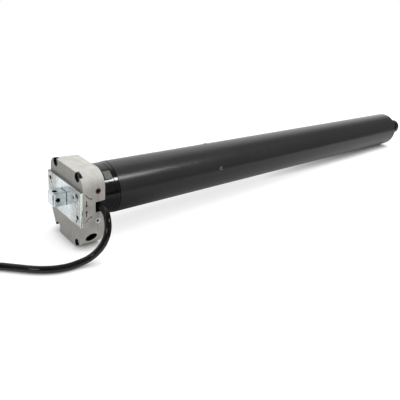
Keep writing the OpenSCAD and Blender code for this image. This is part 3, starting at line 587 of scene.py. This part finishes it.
def zinc():
    """Bright zinc plating on rolled steel: pale blue, with drawn lines, clouds, and painted shade
    towards both ends.
    """
    f = Finish()
    colour = tuple(finishes().zinc)
    clouds = f.ramp(f.noise(0.005, 4), 0.35, 0.65)
    lines = f.noise(0.0010, 3, (1, 0.12, 1))
    across = f.along("Y")
    # Painted shade towards both ends of the plate across the axis, rougher there too
    ends = f.ramp(across, 0.010, 0.022) + 0.85 * f.ramp(across, -0.012, -0.028)
    end_shade = ends * (0.45 + 0.55 * f.ramp(f.noise(0.004, 4), 0.35, 0.6))
    tone = f.mix(clouds, tinted(colour, 0.8), colour)
    tone = f.mix(f.ramp(f.noise(0.0015, 2), 0.58, 0.72) * 0.5, tone, (0.90, 0.93, 0.90))
    tone = f.mix(end_shade, tone, tinted(colour, (0.40, 0.40, 0.36)))
    return f.shade(
        Base_Color=tone, Metallic=0.92,
        Roughness=0.12 + 0.1 * clouds + 0.06 * lines + 0.12 * end_shade, Normal=f.bump(lines, 0.1))


def sheared_zinc():
    """Painted highlight on the plate's near edge: zinc paler and less even than on its rolled face.
    """
    f = Finish()
    breaks = f.ramp(f.noise(0.002, 3, (1, 1, 0.3)), 0.4, 0.65)
    tone = f.mix(breaks, (0.70, 0.76, 0.70), (0.84, 0.89, 0.83))
    return f.shade(
        Base_Color=tone, Metallic=0.9, Roughness=0.2 + 0.15 * breaks, Normal=f.bump(breaks, 0.15))


def tube_paint():
    """Satin black paint with a faint orange peel and fine dust."""
    f = Finish()
    colour = tuple(finishes().tube_black)
    peel = f.noise(0.0016, 2)
    haze = f.ramp(f.noise(0.03, 4, (0.25, 1, 1)), 0.3, 0.7)
    specks = f.ramp(f.noise(0.0009, 2), 0.72, 0.8)
    tone = f.mix(haze, colour, tinted(colour, 1.2))
    tone = f.mix(specks * 0.25, tone, (0.06, 0.06, 0.06))
    return f.shade(
        Base_Color=tone, Roughness=0.22 + 0.06 * haze, Specular_IOR_Level=0.5,
        Normal=f.bump(peel, 0.05, PEEL_DEPTH))


def moulded(colour, gloss=0.28, texture=0.06, specular=0.45):
    """Moulded plastic: a fine spark-eroded texture and faint flow marks."""
    f = Finish()
    flow = f.ramp(f.noise(0.008, 3), 0.3, 0.7)
    grain = f.noise(0.0005, 2)
    tone = f.mix(flow, tinted(colour, 0.85), tinted(colour, 1.08))
    return f.shade(
        Base_Color=tone, Roughness=gloss + 0.1 * flow, Specular_IOR_Level=specular,
        Normal=f.bump(grain, texture))


def turned_metal(colour, rough=0.3, along=(0.1, 1, 1)):
    """Machined metal: fine turning lines round the axis and faint stains."""
    f = Finish()
    stain = f.ramp(f.noise(0.01, 4), 0.3, 0.75)
    lines = f.noise(0.0006, 2, along)
    tone = f.mix(stain, tinted(colour, 0.82), colour)
    return f.shade(
        Base_Color=tone, Metallic=1.0, Roughness=rough + 0.12 * stain + 0.06 * lines,
        Normal=f.bump(lines, 0.1))


def laminations():
    """Stacked sheet steel, with an edge about every millimetre along the axis."""
    f = Finish()
    sheets = f.bands("X", 314.0)
    stain = f.noise(0.006, 3)
    tone = f.mix(sheets, (0.13, 0.13, 0.14), (0.34, 0.35, 0.36))
    return f.shade(
        Base_Color=tone, Metallic=0.9, Roughness=0.4 + 0.2 * stain,
        Normal=f.bump(sheets, 0.3, PEEL_DEPTH))


def wound_copper():
    """Enamelled copper wire in close turns."""
    f = Finish()
    wires = f.bands("DIAGONAL", 250.0, 1.5)
    stain = f.noise(0.007, 3)
    tone = f.mix(wires, (0.25, 0.09, 0.03), (0.66, 0.29, 0.12))
    return f.shade(
        Base_Color=tone, Metallic=0.8, Roughness=0.3 + 0.15 * stain,
        Normal=f.bump(wires, 0.5, WINDING_DEPTH))


def sheath():
    """Smooth black sheath with a little bloom and a faint unevenness."""
    f = Finish()
    colour = tuple(finishes().sheath_black)
    bloom = f.ramp(f.noise(0.012, 4), 0.4, 0.75)
    skin = f.noise(0.002, 2)
    tone = f.mix(bloom, colour, tinted(colour, 2.2))
    return f.shade(
        Base_Color=tone, Roughness=0.07 + 0.06 * bloom, Specular_IOR_Level=0.32,
        Normal=f.bump(skin, 0.03, WINDING_DEPTH))


def earth_core():
    """Green insulation with a yellow stripe wound round it."""
    f = Finish()
    stripe = f.ramp(f.bands("DIAGONAL", 160.0), 0.45, 0.55)
    grain = f.noise(0.0008, 2)
    tone = f.mix(stripe, tuple(finishes().core_earth), (0.02, 0.16, 0.03))
    return f.shade(
        Base_Color=tone, Roughness=0.38 + 0.1 * grain, Normal=f.bump(grain, 0.06))


def bare_copper():
    return turned_metal((0.72, 0.34, 0.17), 0.28, (1, 1, 1))


def steel():
    return turned_metal((0.50, 0.50, 0.51))


def dark_steel():
    return turned_metal((0.085, 0.085, 0.088))


def screw_steel():
    return turned_metal((0.55, 0.56, 0.56), 0.22, (1, 1, 1))


def bronze():
    return turned_metal((0.46, 0.30, 0.13), 0.38, (1, 1, 1))


def socket_shade():
    return moulded((0.035, 0.037, 0.030), 0.5, 0.1, 0.3)


def mark_paint():
    return moulded((0.012, 0.012, 0.012), 0.5, 0.1, 0.3)


def line_shade():
    return moulded((0.06, 0.058, 0.055), 0.6, 0.1, 0.2)


# Near-black painted shade for holes, recesses, hole walls and the crank bush deep in its hole
def hole_black():
    return moulded((0.002, 0.002, 0.002), 0.75, 0.1, 0.05)


# Black moulded plastic of the small parts, also painted on the lead's notch walls as painted shade
def dark_plastic():
    return moulded((0.010, 0.010, 0.011), 0.4, 0.15)


def ring_plastic():
    return moulded(tuple(finishes().ring_black), 0.09, 0.03, 0.75)


# Paler, rougher grey painted on the key's top as a highlight
def key_plastic():
    return moulded((0.11, 0.11, 0.105), 0.4, 0.2, 0.5)


def red_plastic():
    return moulded(tuple(finishes().adjuster_red), 0.3)


def white_plastic():
    return moulded(tuple(finishes().adjuster_white), 0.35)


def core_up():
    return moulded(tuple(finishes().core_live))


def core_down():
    return moulded(tuple(finishes().core_other))


def core_neutral():
    return moulded(tuple(finishes().core_neutral))


def capacitor_shell():
    return moulded((0.62, 0.62, 0.60), 0.4, 0.1)


def friction_lining():
    return moulded((0.10, 0.06, 0.035), 0.7, 0.5, 0.2)


def shared(make):
    """The finish that a function makes, made once and used by all its pieces."""
    name = f"motor_{make.__name__}"
    made = bpy.data.materials.get(name)
    if made is None:
        made = make()
        made.name = name
    return made


def smooth_path(points, steps):
    """Points of a smooth curve through the given points."""
    ends = [2 * points[0] - points[1], *points, 2 * points[-1] - points[-2]]
    path = []
    for a, b, c, d in zip(ends, ends[1:], ends[2:], ends[3:]):
        square = 2 * a - 5 * b + 4 * c - d
        cube = 3 * b - a - 3 * c + d
        for k in range(steps):
            t = k / steps
            path.append(0.5 * (2 * b + (c - a) * t + square * t**2 + cube * t**3))
    return [*path, points[-1]]


def side_spot(x, z):
    """The place on the near side of the head, from millimetres along the axis and above it."""
    taper = (HEAD_LOW.y - COVER_LOW.y) / (HEAD_LOW.x - COVER_LOW.x)
    rise = max(0, z * MM - HEAD_HIGH.z + HEAD_CORNER)
    inset = HEAD_CORNER - math.sqrt(HEAD_CORNER**2 - rise**2)
    return Vector((x * MM, COVER_LOW.y + taper * (x * MM - COVER_LOW.x) + inset, z * MM))


def drawn_line(name, points, diameter, roundness):
    """A round line through points, as a curve."""
    curve = bpy.data.curves.new(name, "CURVE")
    curve.dimensions = "3D"
    curve.bevel_depth = diameter / 2
    curve.bevel_resolution = roundness
    curve.use_fill_caps = True
    spline = curve.splines.new("POLY")
    spline.points.add(len(points) - 1)
    for point, place in zip(spline.points, points):
        point.co = (*place, 1)
    spline.use_smooth = True
    return add_object(name, curve)


def join_pieces(pieces, name):
    """Joins pieces into one."""
    deselect()
    for piece in pieces:
        piece.select_set(True)
    bpy.context.view_layer.objects.active = pieces[0]
    bpy.ops.object.join()
    joined = bpy.context.object
    joined.name = name
    return joined


def coil_points(start, heading, diameter, per_turn):
    """The coil in the floor's frame: straight for one diameter, in, up one layer, and out again."""
    first = start + heading * diameter
    yaw = math.atan2(heading.y, heading.x)
    middle = first + COIL_RADIUS * Vector((-math.sin(yaw), math.cos(yaw), 0))
    points = []
    for k in range(round(COIL_TURNS * per_turn) + 1):
        turn = k / per_turn
        turns_in = min(turn, 2 * (COIL_IN_TURNS + COIL_CLIMB / 2) - turn)
        radius = COIL_RADIUS - COIL_STEP * turns_in
        share = min(1, max(0, (turn - COIL_IN_TURNS) / COIL_CLIMB))
        rise = COIL_STEP * (1 - math.cos(math.pi * share)) / 2
        angle = yaw - math.pi / 2 + 2 * math.pi * turn
        points.append(middle + Vector((radius * math.cos(angle), radius * math.sin(angle), rise)))
    end_yaw = yaw + 2 * math.pi * COIL_TURNS
    ahead = Vector((math.cos(end_yaw), math.sin(end_yaw), 0))
    points.append(points[-1] + diameter * ahead)
    return points, ahead, middle


class MOTOR_OT_camera(Operator):
    """Sets the camera at the height and angle from which the motor is shown"""

    bl_idname = "motor.camera"
    bl_label = "Camera"

    def execute(self, context):
        data = bpy.data.cameras.new("camera")
        data.sensor_width = CAMERA_SENSOR
        data.lens = context.scene.motor_stage.lens
        data.clip_start, data.clip_end = CAMERA_CLIP
        camera = add_object("camera", data)
        turn = Matrix((CAMERA_RIGHT, CAMERA_UP, CAMERA_RIGHT.cross(CAMERA_UP))).transposed()
        camera.matrix_world = Matrix.Translation(CAMERA_PLACE) @ turn.to_4x4()
        context.scene.camera = camera
        return {"FINISHED"}


class MOTOR_OT_lead(Operator):
    """Lays the lead from the gland over the floor to its coil, with its tie and bare ends"""

    bl_idname = "motor.lead"
    bl_label = "Lead"

    def execute(self, context):
        lead = context.scene.motor_lead
        route = [Vector(p) for p in LEAD_ROUTE]
        heading = route[-1] - route[-2]
        heading.z = 0
        heading.normalize()
        coil, ahead, middle = coil_points(route[-1], heading, lead.diameter, lead.turn_points)
        line = [FLOOR @ p for p in [*smooth_path(route, lead.steps), *coil]]
        piece = drawn_line("lead", line, lead.diameter, LEAD_ROUNDNESS)
        dress(piece, shared(sheath))
        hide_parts("power_cable", "cable_coil")
        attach(piece, "head")
        yaw = math.atan2(ahead.y, ahead.x)
        end = FLOOR @ Matrix.Translation(coil[-1]) @ Matrix.Rotation(yaw, 4, "Z")
        cores = self.cores(lead, end)
        tie = worked_copy("cable_tie", "tie_band", dark_plastic, TIE_EDGE)
        turn = math.atan2(heading.y, heading.x) + math.tau * (TIE_TURN - 0.25)
        lock = self.lock(lead, FLOOR @ Matrix.Translation(middle) @ Matrix.Rotation(turn, 4, "Z"))
        length = sum((b - a).length for a, b in zip(line, line[1:]))
        return {"FINISHED"}

    def cores(self, lead, place):
        """Four cores, each a round skin that is cut back from the copper at its end."""
        covered = lead.core_length - lead.bare_length
        deselect()
        bpy.ops.mesh.primitive_cylinder_add(
            vertices=CORE_SIDES, radius=lead.core_diameter / 2, depth=covered,
            location=(0, 0, covered / 2))
        bpy.ops.object.transform_apply(location=True)
        core = bpy.context.object
        pick(core, lambda face: face.normal.z > FACING)
        bpy.ops.mesh.inset(thickness=lead.core_skin)
        bpy.ops.mesh.extrude_region_move(
            TRANSFORM_OT_translate={"value": (0, 0, lead.bare_length)})
        mode("OBJECT")
        round_edges(core, CORE_EDGE, segments=2)
        bare = lead.core_diameter / 2 - lead.core_skin + BARE_SLACK

        def is_bare(face):
            return face.center.z > covered and face.center.xy.length < bare

        copies = []
        for k, make in enumerate((core_up, core_down, core_neutral, earth_core)):
            copy = dress(add_object("core", core.data.copy()), shared(make))
            paint_faces(copy, bare_copper, is_bare)
            lie = Matrix.Rotation(math.radians(45 + 90 * k), 4, "Z")
            lie = lie @ Matrix.Translation((lead.core_circle, 0, 0))
            copy.data.transform(place @ Matrix.Rotation(math.pi / 2, 4, "Y") @ lie)
            copies.append(copy)
        bpy.data.objects.remove(core)
        joined = join_pieces(copies, "lead_cores")
        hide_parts("cable_cores")
        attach(joined, BODY_OF["cable_cores"])
        return joined

    def lock(self, lead, place):
        """The lock of the cable tie on the outside of the coil, with its tail coming out of it."""
        size = Vector(lead.tie_lock)
        deselect()
        bpy.ops.mesh.primitive_cube_add(size=1)
        lock = bpy.context.object
        lock.data.transform(Matrix.Diagonal((*size, 1)))
        pick(lock, lambda face: face.normal.z > FACING)
        bpy.ops.mesh.inset(thickness=size.x * SLOT_RIM)
        bpy.ops.mesh.inset(thickness=size.x * SLOT_SLOPE, depth=-size.z * SLOT_DEPTH)
        for lean, rise in TAIL_BENDS:
            bpy.ops.mesh.extrude_region_move(
                TRANSFORM_OT_translate={"value": (size.x * lean, 0, lead.tie_tail * rise)})
        mode("OBJECT")
        round_edges(lock, LOCK_EDGE)
        lock.name = "tie_lock"
        reach = COIL_RADIUS + lead.diameter / 2 + size.x * LOCK_STAND
        lock.data.transform(place @ Matrix.Translation((reach, 0, COIL_STEP / 2)))
        dress(lock, shared(dark_plastic))
        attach(lock, "head")
        return lock


class MOTOR_OT_head(Operator):
    """Makes the two cast halves of the head, their screws, adjusters, crank bush and gland"""

    bl_idname = "motor.head"
    bl_label = "Head"

    def execute(self, context):
        trim = edges().trim_edge
        rims = [middle_of(node) for node in ("red_adjuster", "white_adjuster")]

        def stays_sharp(spot):
            at_rim = any((spot - rim).xz.length < edges().rim_reach for rim in rims)
            return at_rim or abs(spot.x - COVER_HIGH.x) < SLACK

        for node, name in (("head_cover", "cast_cover"), ("head_housing", "cast_housing")):
            half = worked_copy(node, name, cast_alloy, edges().cast_edge, stays_sharp)
            round_edges(half, edges().seam_edge, CREASE, 1, lambda spot: not stays_sharp(spot))
        self.darken_hollows()
        worked_copy("head_screws", "corner_screws", dark_steel, trim)
        self.adjuster("red_adjuster", "up_adjuster", red_plastic)
        self.adjuster("white_adjuster", "down_adjuster", white_plastic)
        # The crank bush deep in its hole is painted near-black as painted shade
        worked_copy("crank_bush", "crank_bearing", hole_black, trim)
        worked_copy("cable_gland", "lead_gland", dark_plastic, trim)
        return {"FINISHED"}

    def adjuster(self, node, name, skin):
        """One limit adjuster, with a shaded socket."""
        piece = worked_copy(node, name, skin, edges().trim_edge)
        low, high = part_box(node)
        axis = middle_of(node)
        reach = SOCKET_SHARE * (high.x - low.x) / 2

        def in_socket(face):
            spot = face.center
            return (spot - axis).xz.length < reach and spot.y > low.y + SOCKET_DEPTH

        paint_faces(piece, socket_shade, in_socket)

    def darken_hollows(self):
        """Paints shade into the hollows: dark painted shade in the screw pockets, and black painted
        shade on the walls of the crank's hole and the lead's notch.
        """
        axes = screw_axes("head_screws")
        low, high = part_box("cable_gland")
        crank = middle_of("crank_bush")
        along = Vector((0, -math.cos(CRANK_TILT), -math.sin(CRANK_TILT)))

        def in_pocket(face):
            spot = face.center
            near = any((spot - axis).yz.length < edges().pocket_reach for axis in axes)
            return near and spot.x > COVER_LOW.x + HOLLOW_SLACK

        def in_notch(face):
            spot = face.center
            level = low.z - HOLLOW_SLACK < spot.z < high.z + HOLLOW_SLACK
            sunk = HEAD_LOW.y + 3 * HOLLOW_SLACK < spot.y < high.y + HOLLOW_SLACK
            return level and sunk and spot.x > low.x - HOLLOW_SLACK

        def in_crank_hole(face):
            out = face.center - crank
            beside = out - out.dot(along) * along
            is_wall = abs(face.normal.dot(along)) < WALL_TILT
            return is_wall and beside.length < edges().crank_reach

        cover, housing = bpy.data.objects["cast_cover"], bpy.data.objects["cast_housing"]
        # Black painted shade on the walls of the crank's hole
        paint_faces(cover, hole_black, in_crank_hole)
        paint_faces(housing, hole_black, in_crank_hole)
        # Dark painted shade, with a painted highlight at the seat, in the screw pockets
        paint_faces(cover, raw_casting, in_pocket)
        # Black painted shade on the walls of the lead's notch
        paint_faces(housing, dark_plastic, in_notch)


class MOTOR_OT_marks(Operator):
    """Cuts the arrows and the adjusters' lines into the side of the head"""

    bl_idname = "motor.marks"
    bl_label = "Marks"

    def execute(self, context):
        wide = edges().mark_width
        arrows = []
        for tail, tip in ARROWS:
            stem = [side_spot(*tail), side_spot(*tip)]
            arrows.append(drawn_line("stem", stem, wide, MARK_ROUNDNESS))
            arrows.append(self.barb(tip, tail, wide))
        for bend in CURVED_ARROWS:
            stem = smooth_path([side_spot(*spot) for spot in bend], BEND_STEPS)
            arrows.append(drawn_line("bend", stem, wide * BEND_STEM, MARK_ROUNDNESS))
            arrows.append(self.barb(bend[-1], bend[-2], wide * BEND_BARB))
        self.cut("cast_cover", arrows, mark_paint)
        lines = []
        for x, top, foot in INDEX_LINES:
            fall = foot - top
            spots = [side_spot(x, top + fall * k / LINE_STEPS) for k in range(LINE_STEPS + 1)]
            lines.append(drawn_line("line", spots, edges().line_width, MARK_ROUNDNESS))
        self.cut("cast_housing", lines, line_shade)
        return {"FINISHED"}

    def barb(self, tip, tail, wide):
        """The three-sided head of an arrow on the side of the head."""
        deselect()
        bpy.ops.mesh.primitive_cylinder_add(vertices=3, radius=wide * BARB_RADIUS, depth=wide)
        barb = bpy.context.object
        turn = math.atan2(tip[0] - tail[0], tip[1] - tail[1])
        lie = Matrix.Rotation(turn, 4, "Y") @ Matrix.Rotation(math.pi / 2, 4, "X")
        barb.data.transform(Matrix.Translation(side_spot(*tip)) @ lie)
        return barb

    def cut(self, name, strokes, make):
        """Cuts strokes into a half of the head, and paints what they leave."""
        for stroke in strokes:
            take(stroke)
            bpy.ops.object.convert(target="MESH")
        cutter = dress(join_pieces(strokes, "strokes"), shared(make))
        half = take(bpy.data.objects[name])
        cut = half.modifiers.new("Marks", "BOOLEAN")
        cut.operation = "DIFFERENCE"
        cut.solver = "EXACT"
        cut.use_self = True
        cut.material_mode = "TRANSFER"
        cut.object = cutter
        bpy.ops.object.modifier_apply(modifier=cut.name)
        bpy.data.objects.remove(cutter)
        smooth_faces(half)


class MOTOR_OT_plate(Operator):
    """Makes the zinc plate, the square stub and the plate's screws"""

    bl_idname = "motor.plate"
    bl_label = "Mounting plate"

    def execute(self, context):
        self.plate()
        self.stub()
        worked_copy("plate_screws", "dome_screws", screw_steel, edges().trim_edge)
        return {"FINISHED"}

    def plate(self):
        """The plate, with its outline rounded before its holes, and a painted highlight on its near
        edge.
        """
        low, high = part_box("mounting_plate")
        rounding = edges().plate_edge

        def inside_outline(spot):
            gaps = [min(abs(spot[k] - low[k]), abs(spot[k] - high[k])) for k in (1, 2)]
            return min(gaps) >= SLACK

        def round_outline(piece):
            round_edges(piece, rounding, leave=inside_outline)

        def is_sheared(face):
            return face.normal.y < -LEANING and face.center.y < low.y + rounding

        plate = worked_copy(
            "mounting_plate", "zinc_plate", zinc, edges().trim_edge, first=round_outline)
        # Painted highlight on the edge that faces the near side
        paint_faces(plate, sheared_zinc, is_sheared)

    def stub(self):
        """The stub, with a groove at its foot and its outline rounded before its cross-holes, and
        painted shade in its holes and groove.
        """
        low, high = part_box("square_stub")
        groove = edges().groove

        def off_foot(spot):
            on_side = max(abs(spot.y), abs(spot.z)) > high.y - FOOT_SLACK
            return not (on_side and abs(spot.x) < SLACK)

        def at_hole(spot):
            near = min(abs(spot.y), abs(spot.z)) < HOLE_REACH
            return near and low.x + HOLE_FROM_END < spot.x < -HOLE_FROM_FOOT

        def off_outline(spot):
            return at_hole(spot) or spot.x > -groove - SLACK

        def round_outline(piece):
            round_edges(piece, groove, CREASE, 1, off_foot)
            round_edges(piece, edges().stub_edge, leave=off_outline)

        def in_hole(face):
            spot = face.center
            within = all(abs(spot[k]) < high[k] - STUB_WALL for k in (1, 2))
            return within and low.x + STUB_WALL < spot.x < 0

        stub = worked_copy(
            "square_stub", "zinc_stub", zinc, edges().trim_edge,
            lambda spot: not at_hole(spot), round_outline)
        # Painted shade: black inside the holes, dark in the groove at the foot
        paint_faces(stub, hole_black, in_hole)
        paint_faces(stub, line_shade, lambda face: abs(face.center.x) < groove)


class MOTOR_OT_tube(Operator):
    """Makes the black tube, its screws and the crown ring"""

    bl_idname = "motor.tube"
    bl_label = "Tube and crown ring"

    def execute(self, context):
        ring = edges().ring_edge
        worked_copy("motor_tube", "black_tube", tube_paint, ring)
        screws = worked_copy("tube_screws", "ring_of_screws", steel, FINE_EDGE)
        top = self.top_of(screws) - TOP_SLACK
        # Each screw's recess gets black painted shade on its floor
        sink(
            screws, hole_black,
            lambda face: face.center.yz.length > top and face.area > RECESS_AREA)
        crown = worked_copy("crown_ring", "drive_crown", ring_plastic, ring)
        key = self.top_of(crown) - KEY_HEIGHT
        # The top of the raised key gets a paler painted highlight
        paint_faces(crown, key_plastic, lambda face: face.center.yz.length > key)
        return {"FINISHED"}

    def top_of(self, piece):
        """How far the outermost face of a piece is from the axis."""
        return max(face.center.yz.length for face in piece.data.polygons)


class MOTOR_OT_output(Operator):
    """Makes the output shaft, its clip and the end cap"""

    bl_idname = "motor.output"
    bl_label = "Output end"

    def execute(self, context):
        worked_copy("output_shaft", "drive_shaft", dark_steel, SHAFT_EDGE)
        worked_copy("output_clip", "shaft_clip", dark_steel, FINE_EDGE)
        worked_copy("end_cap", "tube_cap", dark_plastic, CAP_EDGE)
        return {"FINISHED"}


class MOTOR_OT_insides(Operator):
    """Gives the parts inside the head and tube their finishes"""

    bl_idname = "motor.insides"
    bl_label = "Inner parts"

    def execute(self, context):
        planets = [f"planet_{stage}{gear}" for stage in "123" for gear in "abc"]
        sets = {
            steel: [
                "crank_worm", "drive_sleeve", "motor_bearings", "motor_shaft", "brake_armature",
                "brake_pot", "carrier_1", "carrier_2", "carrier_3", "ring_gear", "hub_screws"],
            bronze: ["worm_bushes", "worm_wheel", "output_bushes", *planets],
            cast_alloy: ["front_bell", "rear_bell", "output_housing"],
            dark_plastic: ["crown_hub", "front_plug", "capacitor_cradle", "limit_switches"],
            white_plastic: ["limit_pinion", "cam_down"],
            red_plastic: ["cam_up"],
            laminations: ["stator_core", "rotor_core"],
            wound_copper: ["brake_coil", "stator_windings"],
            capacitor_shell: ["capacitor"],
            friction_lining: ["brake_disc"],
        }
        for make, nodes in sets.items():
            for node in nodes:
                dress(NODES[node], shared(make))
        return {"FINISHED"}


class MOTOR_OT_stage(Operator):
    """Lays the floor and sets the light"""

    bl_idname = "motor.stage"
    bl_label = "Floor and light"

    def execute(self, context):
        stage = context.scene.motor_stage
        self.floor(stage)
        context.scene.world = self.room(stage)
        for name, (place, aim, width) in LAMPS.items():
            lamp = self.lamp(name, place, aim, width, getattr(stage, name))
            lamp.visible_glossy = name != "overhead"
        context.scene.view_settings.view_transform = "Standard"
        return {"FINISHED"}

    def floor(self, stage):
        """A floor that is pale where it is seen, and goes over into the white of the backdrop."""
        deselect()
        bpy.ops.mesh.primitive_circle_add(
            vertices=FLOOR_SIDES, radius=FLOOR_RADIUS, fill_type="NGON")
        floor = bpy.context.object
        floor.name = "floor"
        floor.matrix_world = FLOOR
        f = Finish("floor")
        eye = f.ray("Camera") + f.ray("Transmission")
        gloss = f.ray("Glossy")
        paper = self.paper(f, stage)
        seen = eye + gloss * paper
        dim = gloss * (1 - paper)
        reach = {"Distance": stage.contact}
        close = f.node("AmbientOcclusion", {"samples": 8}, reach, "AO")
        table = stage.table_light * (1 - seen - dim) + seen
        tone = f.mix(seen, tuple(stage.floor_bounce), tuple(stage.floor_tone))
        f.shade(
            Base_Color=f.mix(dim, tone, BLACK), Roughness=0.9, Specular_IOR_Level=0.0,
            Emission_Color=f.mix(table * close, BLACK, WHITE), Emission_Strength=stage.floor_glow)
        offset = {0: f.place(), 1: FLOOR_MIDDLE}
        middle = f.node("VectorMath", {"operation": "SUBTRACT"}, offset)
        away = f.node("VectorMath", {"operation": "LENGTH"}, {0: middle}, "Value")
        lit = Wire(f, f.shader.outputs[0])
        white = f.node("Emission", None, {"Color": WHITE, "Strength": seen})
        share = f.ramp(away, *WHITE_SPAN, "SMOOTHSTEP")
        both = f.node("MixShader", None, {0: share, 1: lit, 2: white})
        f.feed(f.tree.nodes["Material Output"].inputs["Surface"], both)
        dress(floor, f.material)

    def paper(self, f, stage):
        """How much of the white paper on the floor shows in reflections, from place to place."""
        front = f.along("Y")
        along = f.along("X")
        near = FRONT_WHITE + RING_WHITE * f.ramp(along, *RING_SPAN)
        near = near + TUBE_WHITE * f.ramp(along, *TUBE_SPAN)
        near = near + LEFT_WHITE * f.ramp(along + LEFT_SLANT * front, *LEFT_SPAN)
        behind = f.ramp(front, *BEHIND_SPAN)
        edge = f.ramp(front, -stage.paper_edge - PAPER_FADE, -stage.paper_edge, "SMOOTHSTEP")
        return edge * (near + (1 - near) * behind)

    def room(self, stage):
        """A white backdrop behind the motor and a dim room in front, as reflections show them."""
        f = Finish("studio", bpy.data.worlds.new("studio"), "Background")
        shown = f.ray("Camera") + f.ray("Transmission")
        gloss = f.ray("Glossy")
        way = f.node("TexCoord", output="Generated")
        across = f.node("SeparateXYZ", None, {"Vector": way}, "Y")
        backdrop = stage.room + (1 - stage.room) * f.ramp(across, *BACKDROP_SPAN, "SMOOTHSTEP")
        strength = shown + gloss * backdrop + (1 - shown - gloss) * stage.sky
        return f.shade(Color=WHITE, Strength=strength)

    def lamp(self, name, place, aim, width, power):
        """A round lamp that faces a point."""
        data = bpy.data.lights.new(name, "AREA")
        data.shape = "DISK"
        data.size = width
        data.energy = power
        lamp = add_object(name, data)
        lamp.location = place
        facing = Vector(aim) - Vector(place)
        lamp.rotation_euler = facing.to_track_quat("-Z", "Y").to_euler()
        return lamp


class MOTOR_PT_panel(Panel):
    """Lists the steps that dress the motor, and their sizes and colours"""

    bl_label = "Blind motor"
    bl_idname = "MOTOR_PT_panel"
    bl_space_type = "VIEW_3D"
    bl_region_type = "UI"
    bl_category = "Blind motor"

    def draw(self, context):
        for step in STEPS:
            self.layout.operator(step.bl_idname)
        for group, kind in GROUPS.items():
            box = self.layout.box()
            for name in kind.__annotations__:
                box.prop(getattr(context.scene, group), name)


STEPS = (
    MOTOR_OT_camera, MOTOR_OT_lead, MOTOR_OT_head, MOTOR_OT_marks, MOTOR_OT_plate, MOTOR_OT_tube,
    MOTOR_OT_output, MOTOR_OT_insides, MOTOR_OT_stage,
)
GROUPS = {
    "motor_finishes": MotorFinishes,
    "motor_edges": MotorEdges,
    "motor_lead": MotorLead,
    "motor_stage": MotorStage,
}


def register():
    for kind in (*GROUPS.values(), *STEPS, MOTOR_PT_panel):
        bpy.utils.register_class(kind)
    for name, kind in GROUPS.items():
        setattr(bpy.types.Scene, name, PointerProperty(type=kind))


def unregister():
    for name in GROUPS:
        delattr(bpy.types.Scene, name)
    for kind in reversed((*GROUPS.values(), *STEPS, MOTOR_PT_panel)):
        bpy.utils.unregister_class(kind)


def main():
    register()
    bpy.ops.motor.camera()
    bpy.ops.motor.lead()
    bpy.ops.motor.head()
    bpy.ops.motor.marks()
    bpy.ops.motor.plate()
    bpy.ops.motor.tube()
    bpy.ops.motor.output()
    bpy.ops.motor.insides()
    bpy.ops.motor.stage()
    deselect()


if __name__ == "__main__":
    main()
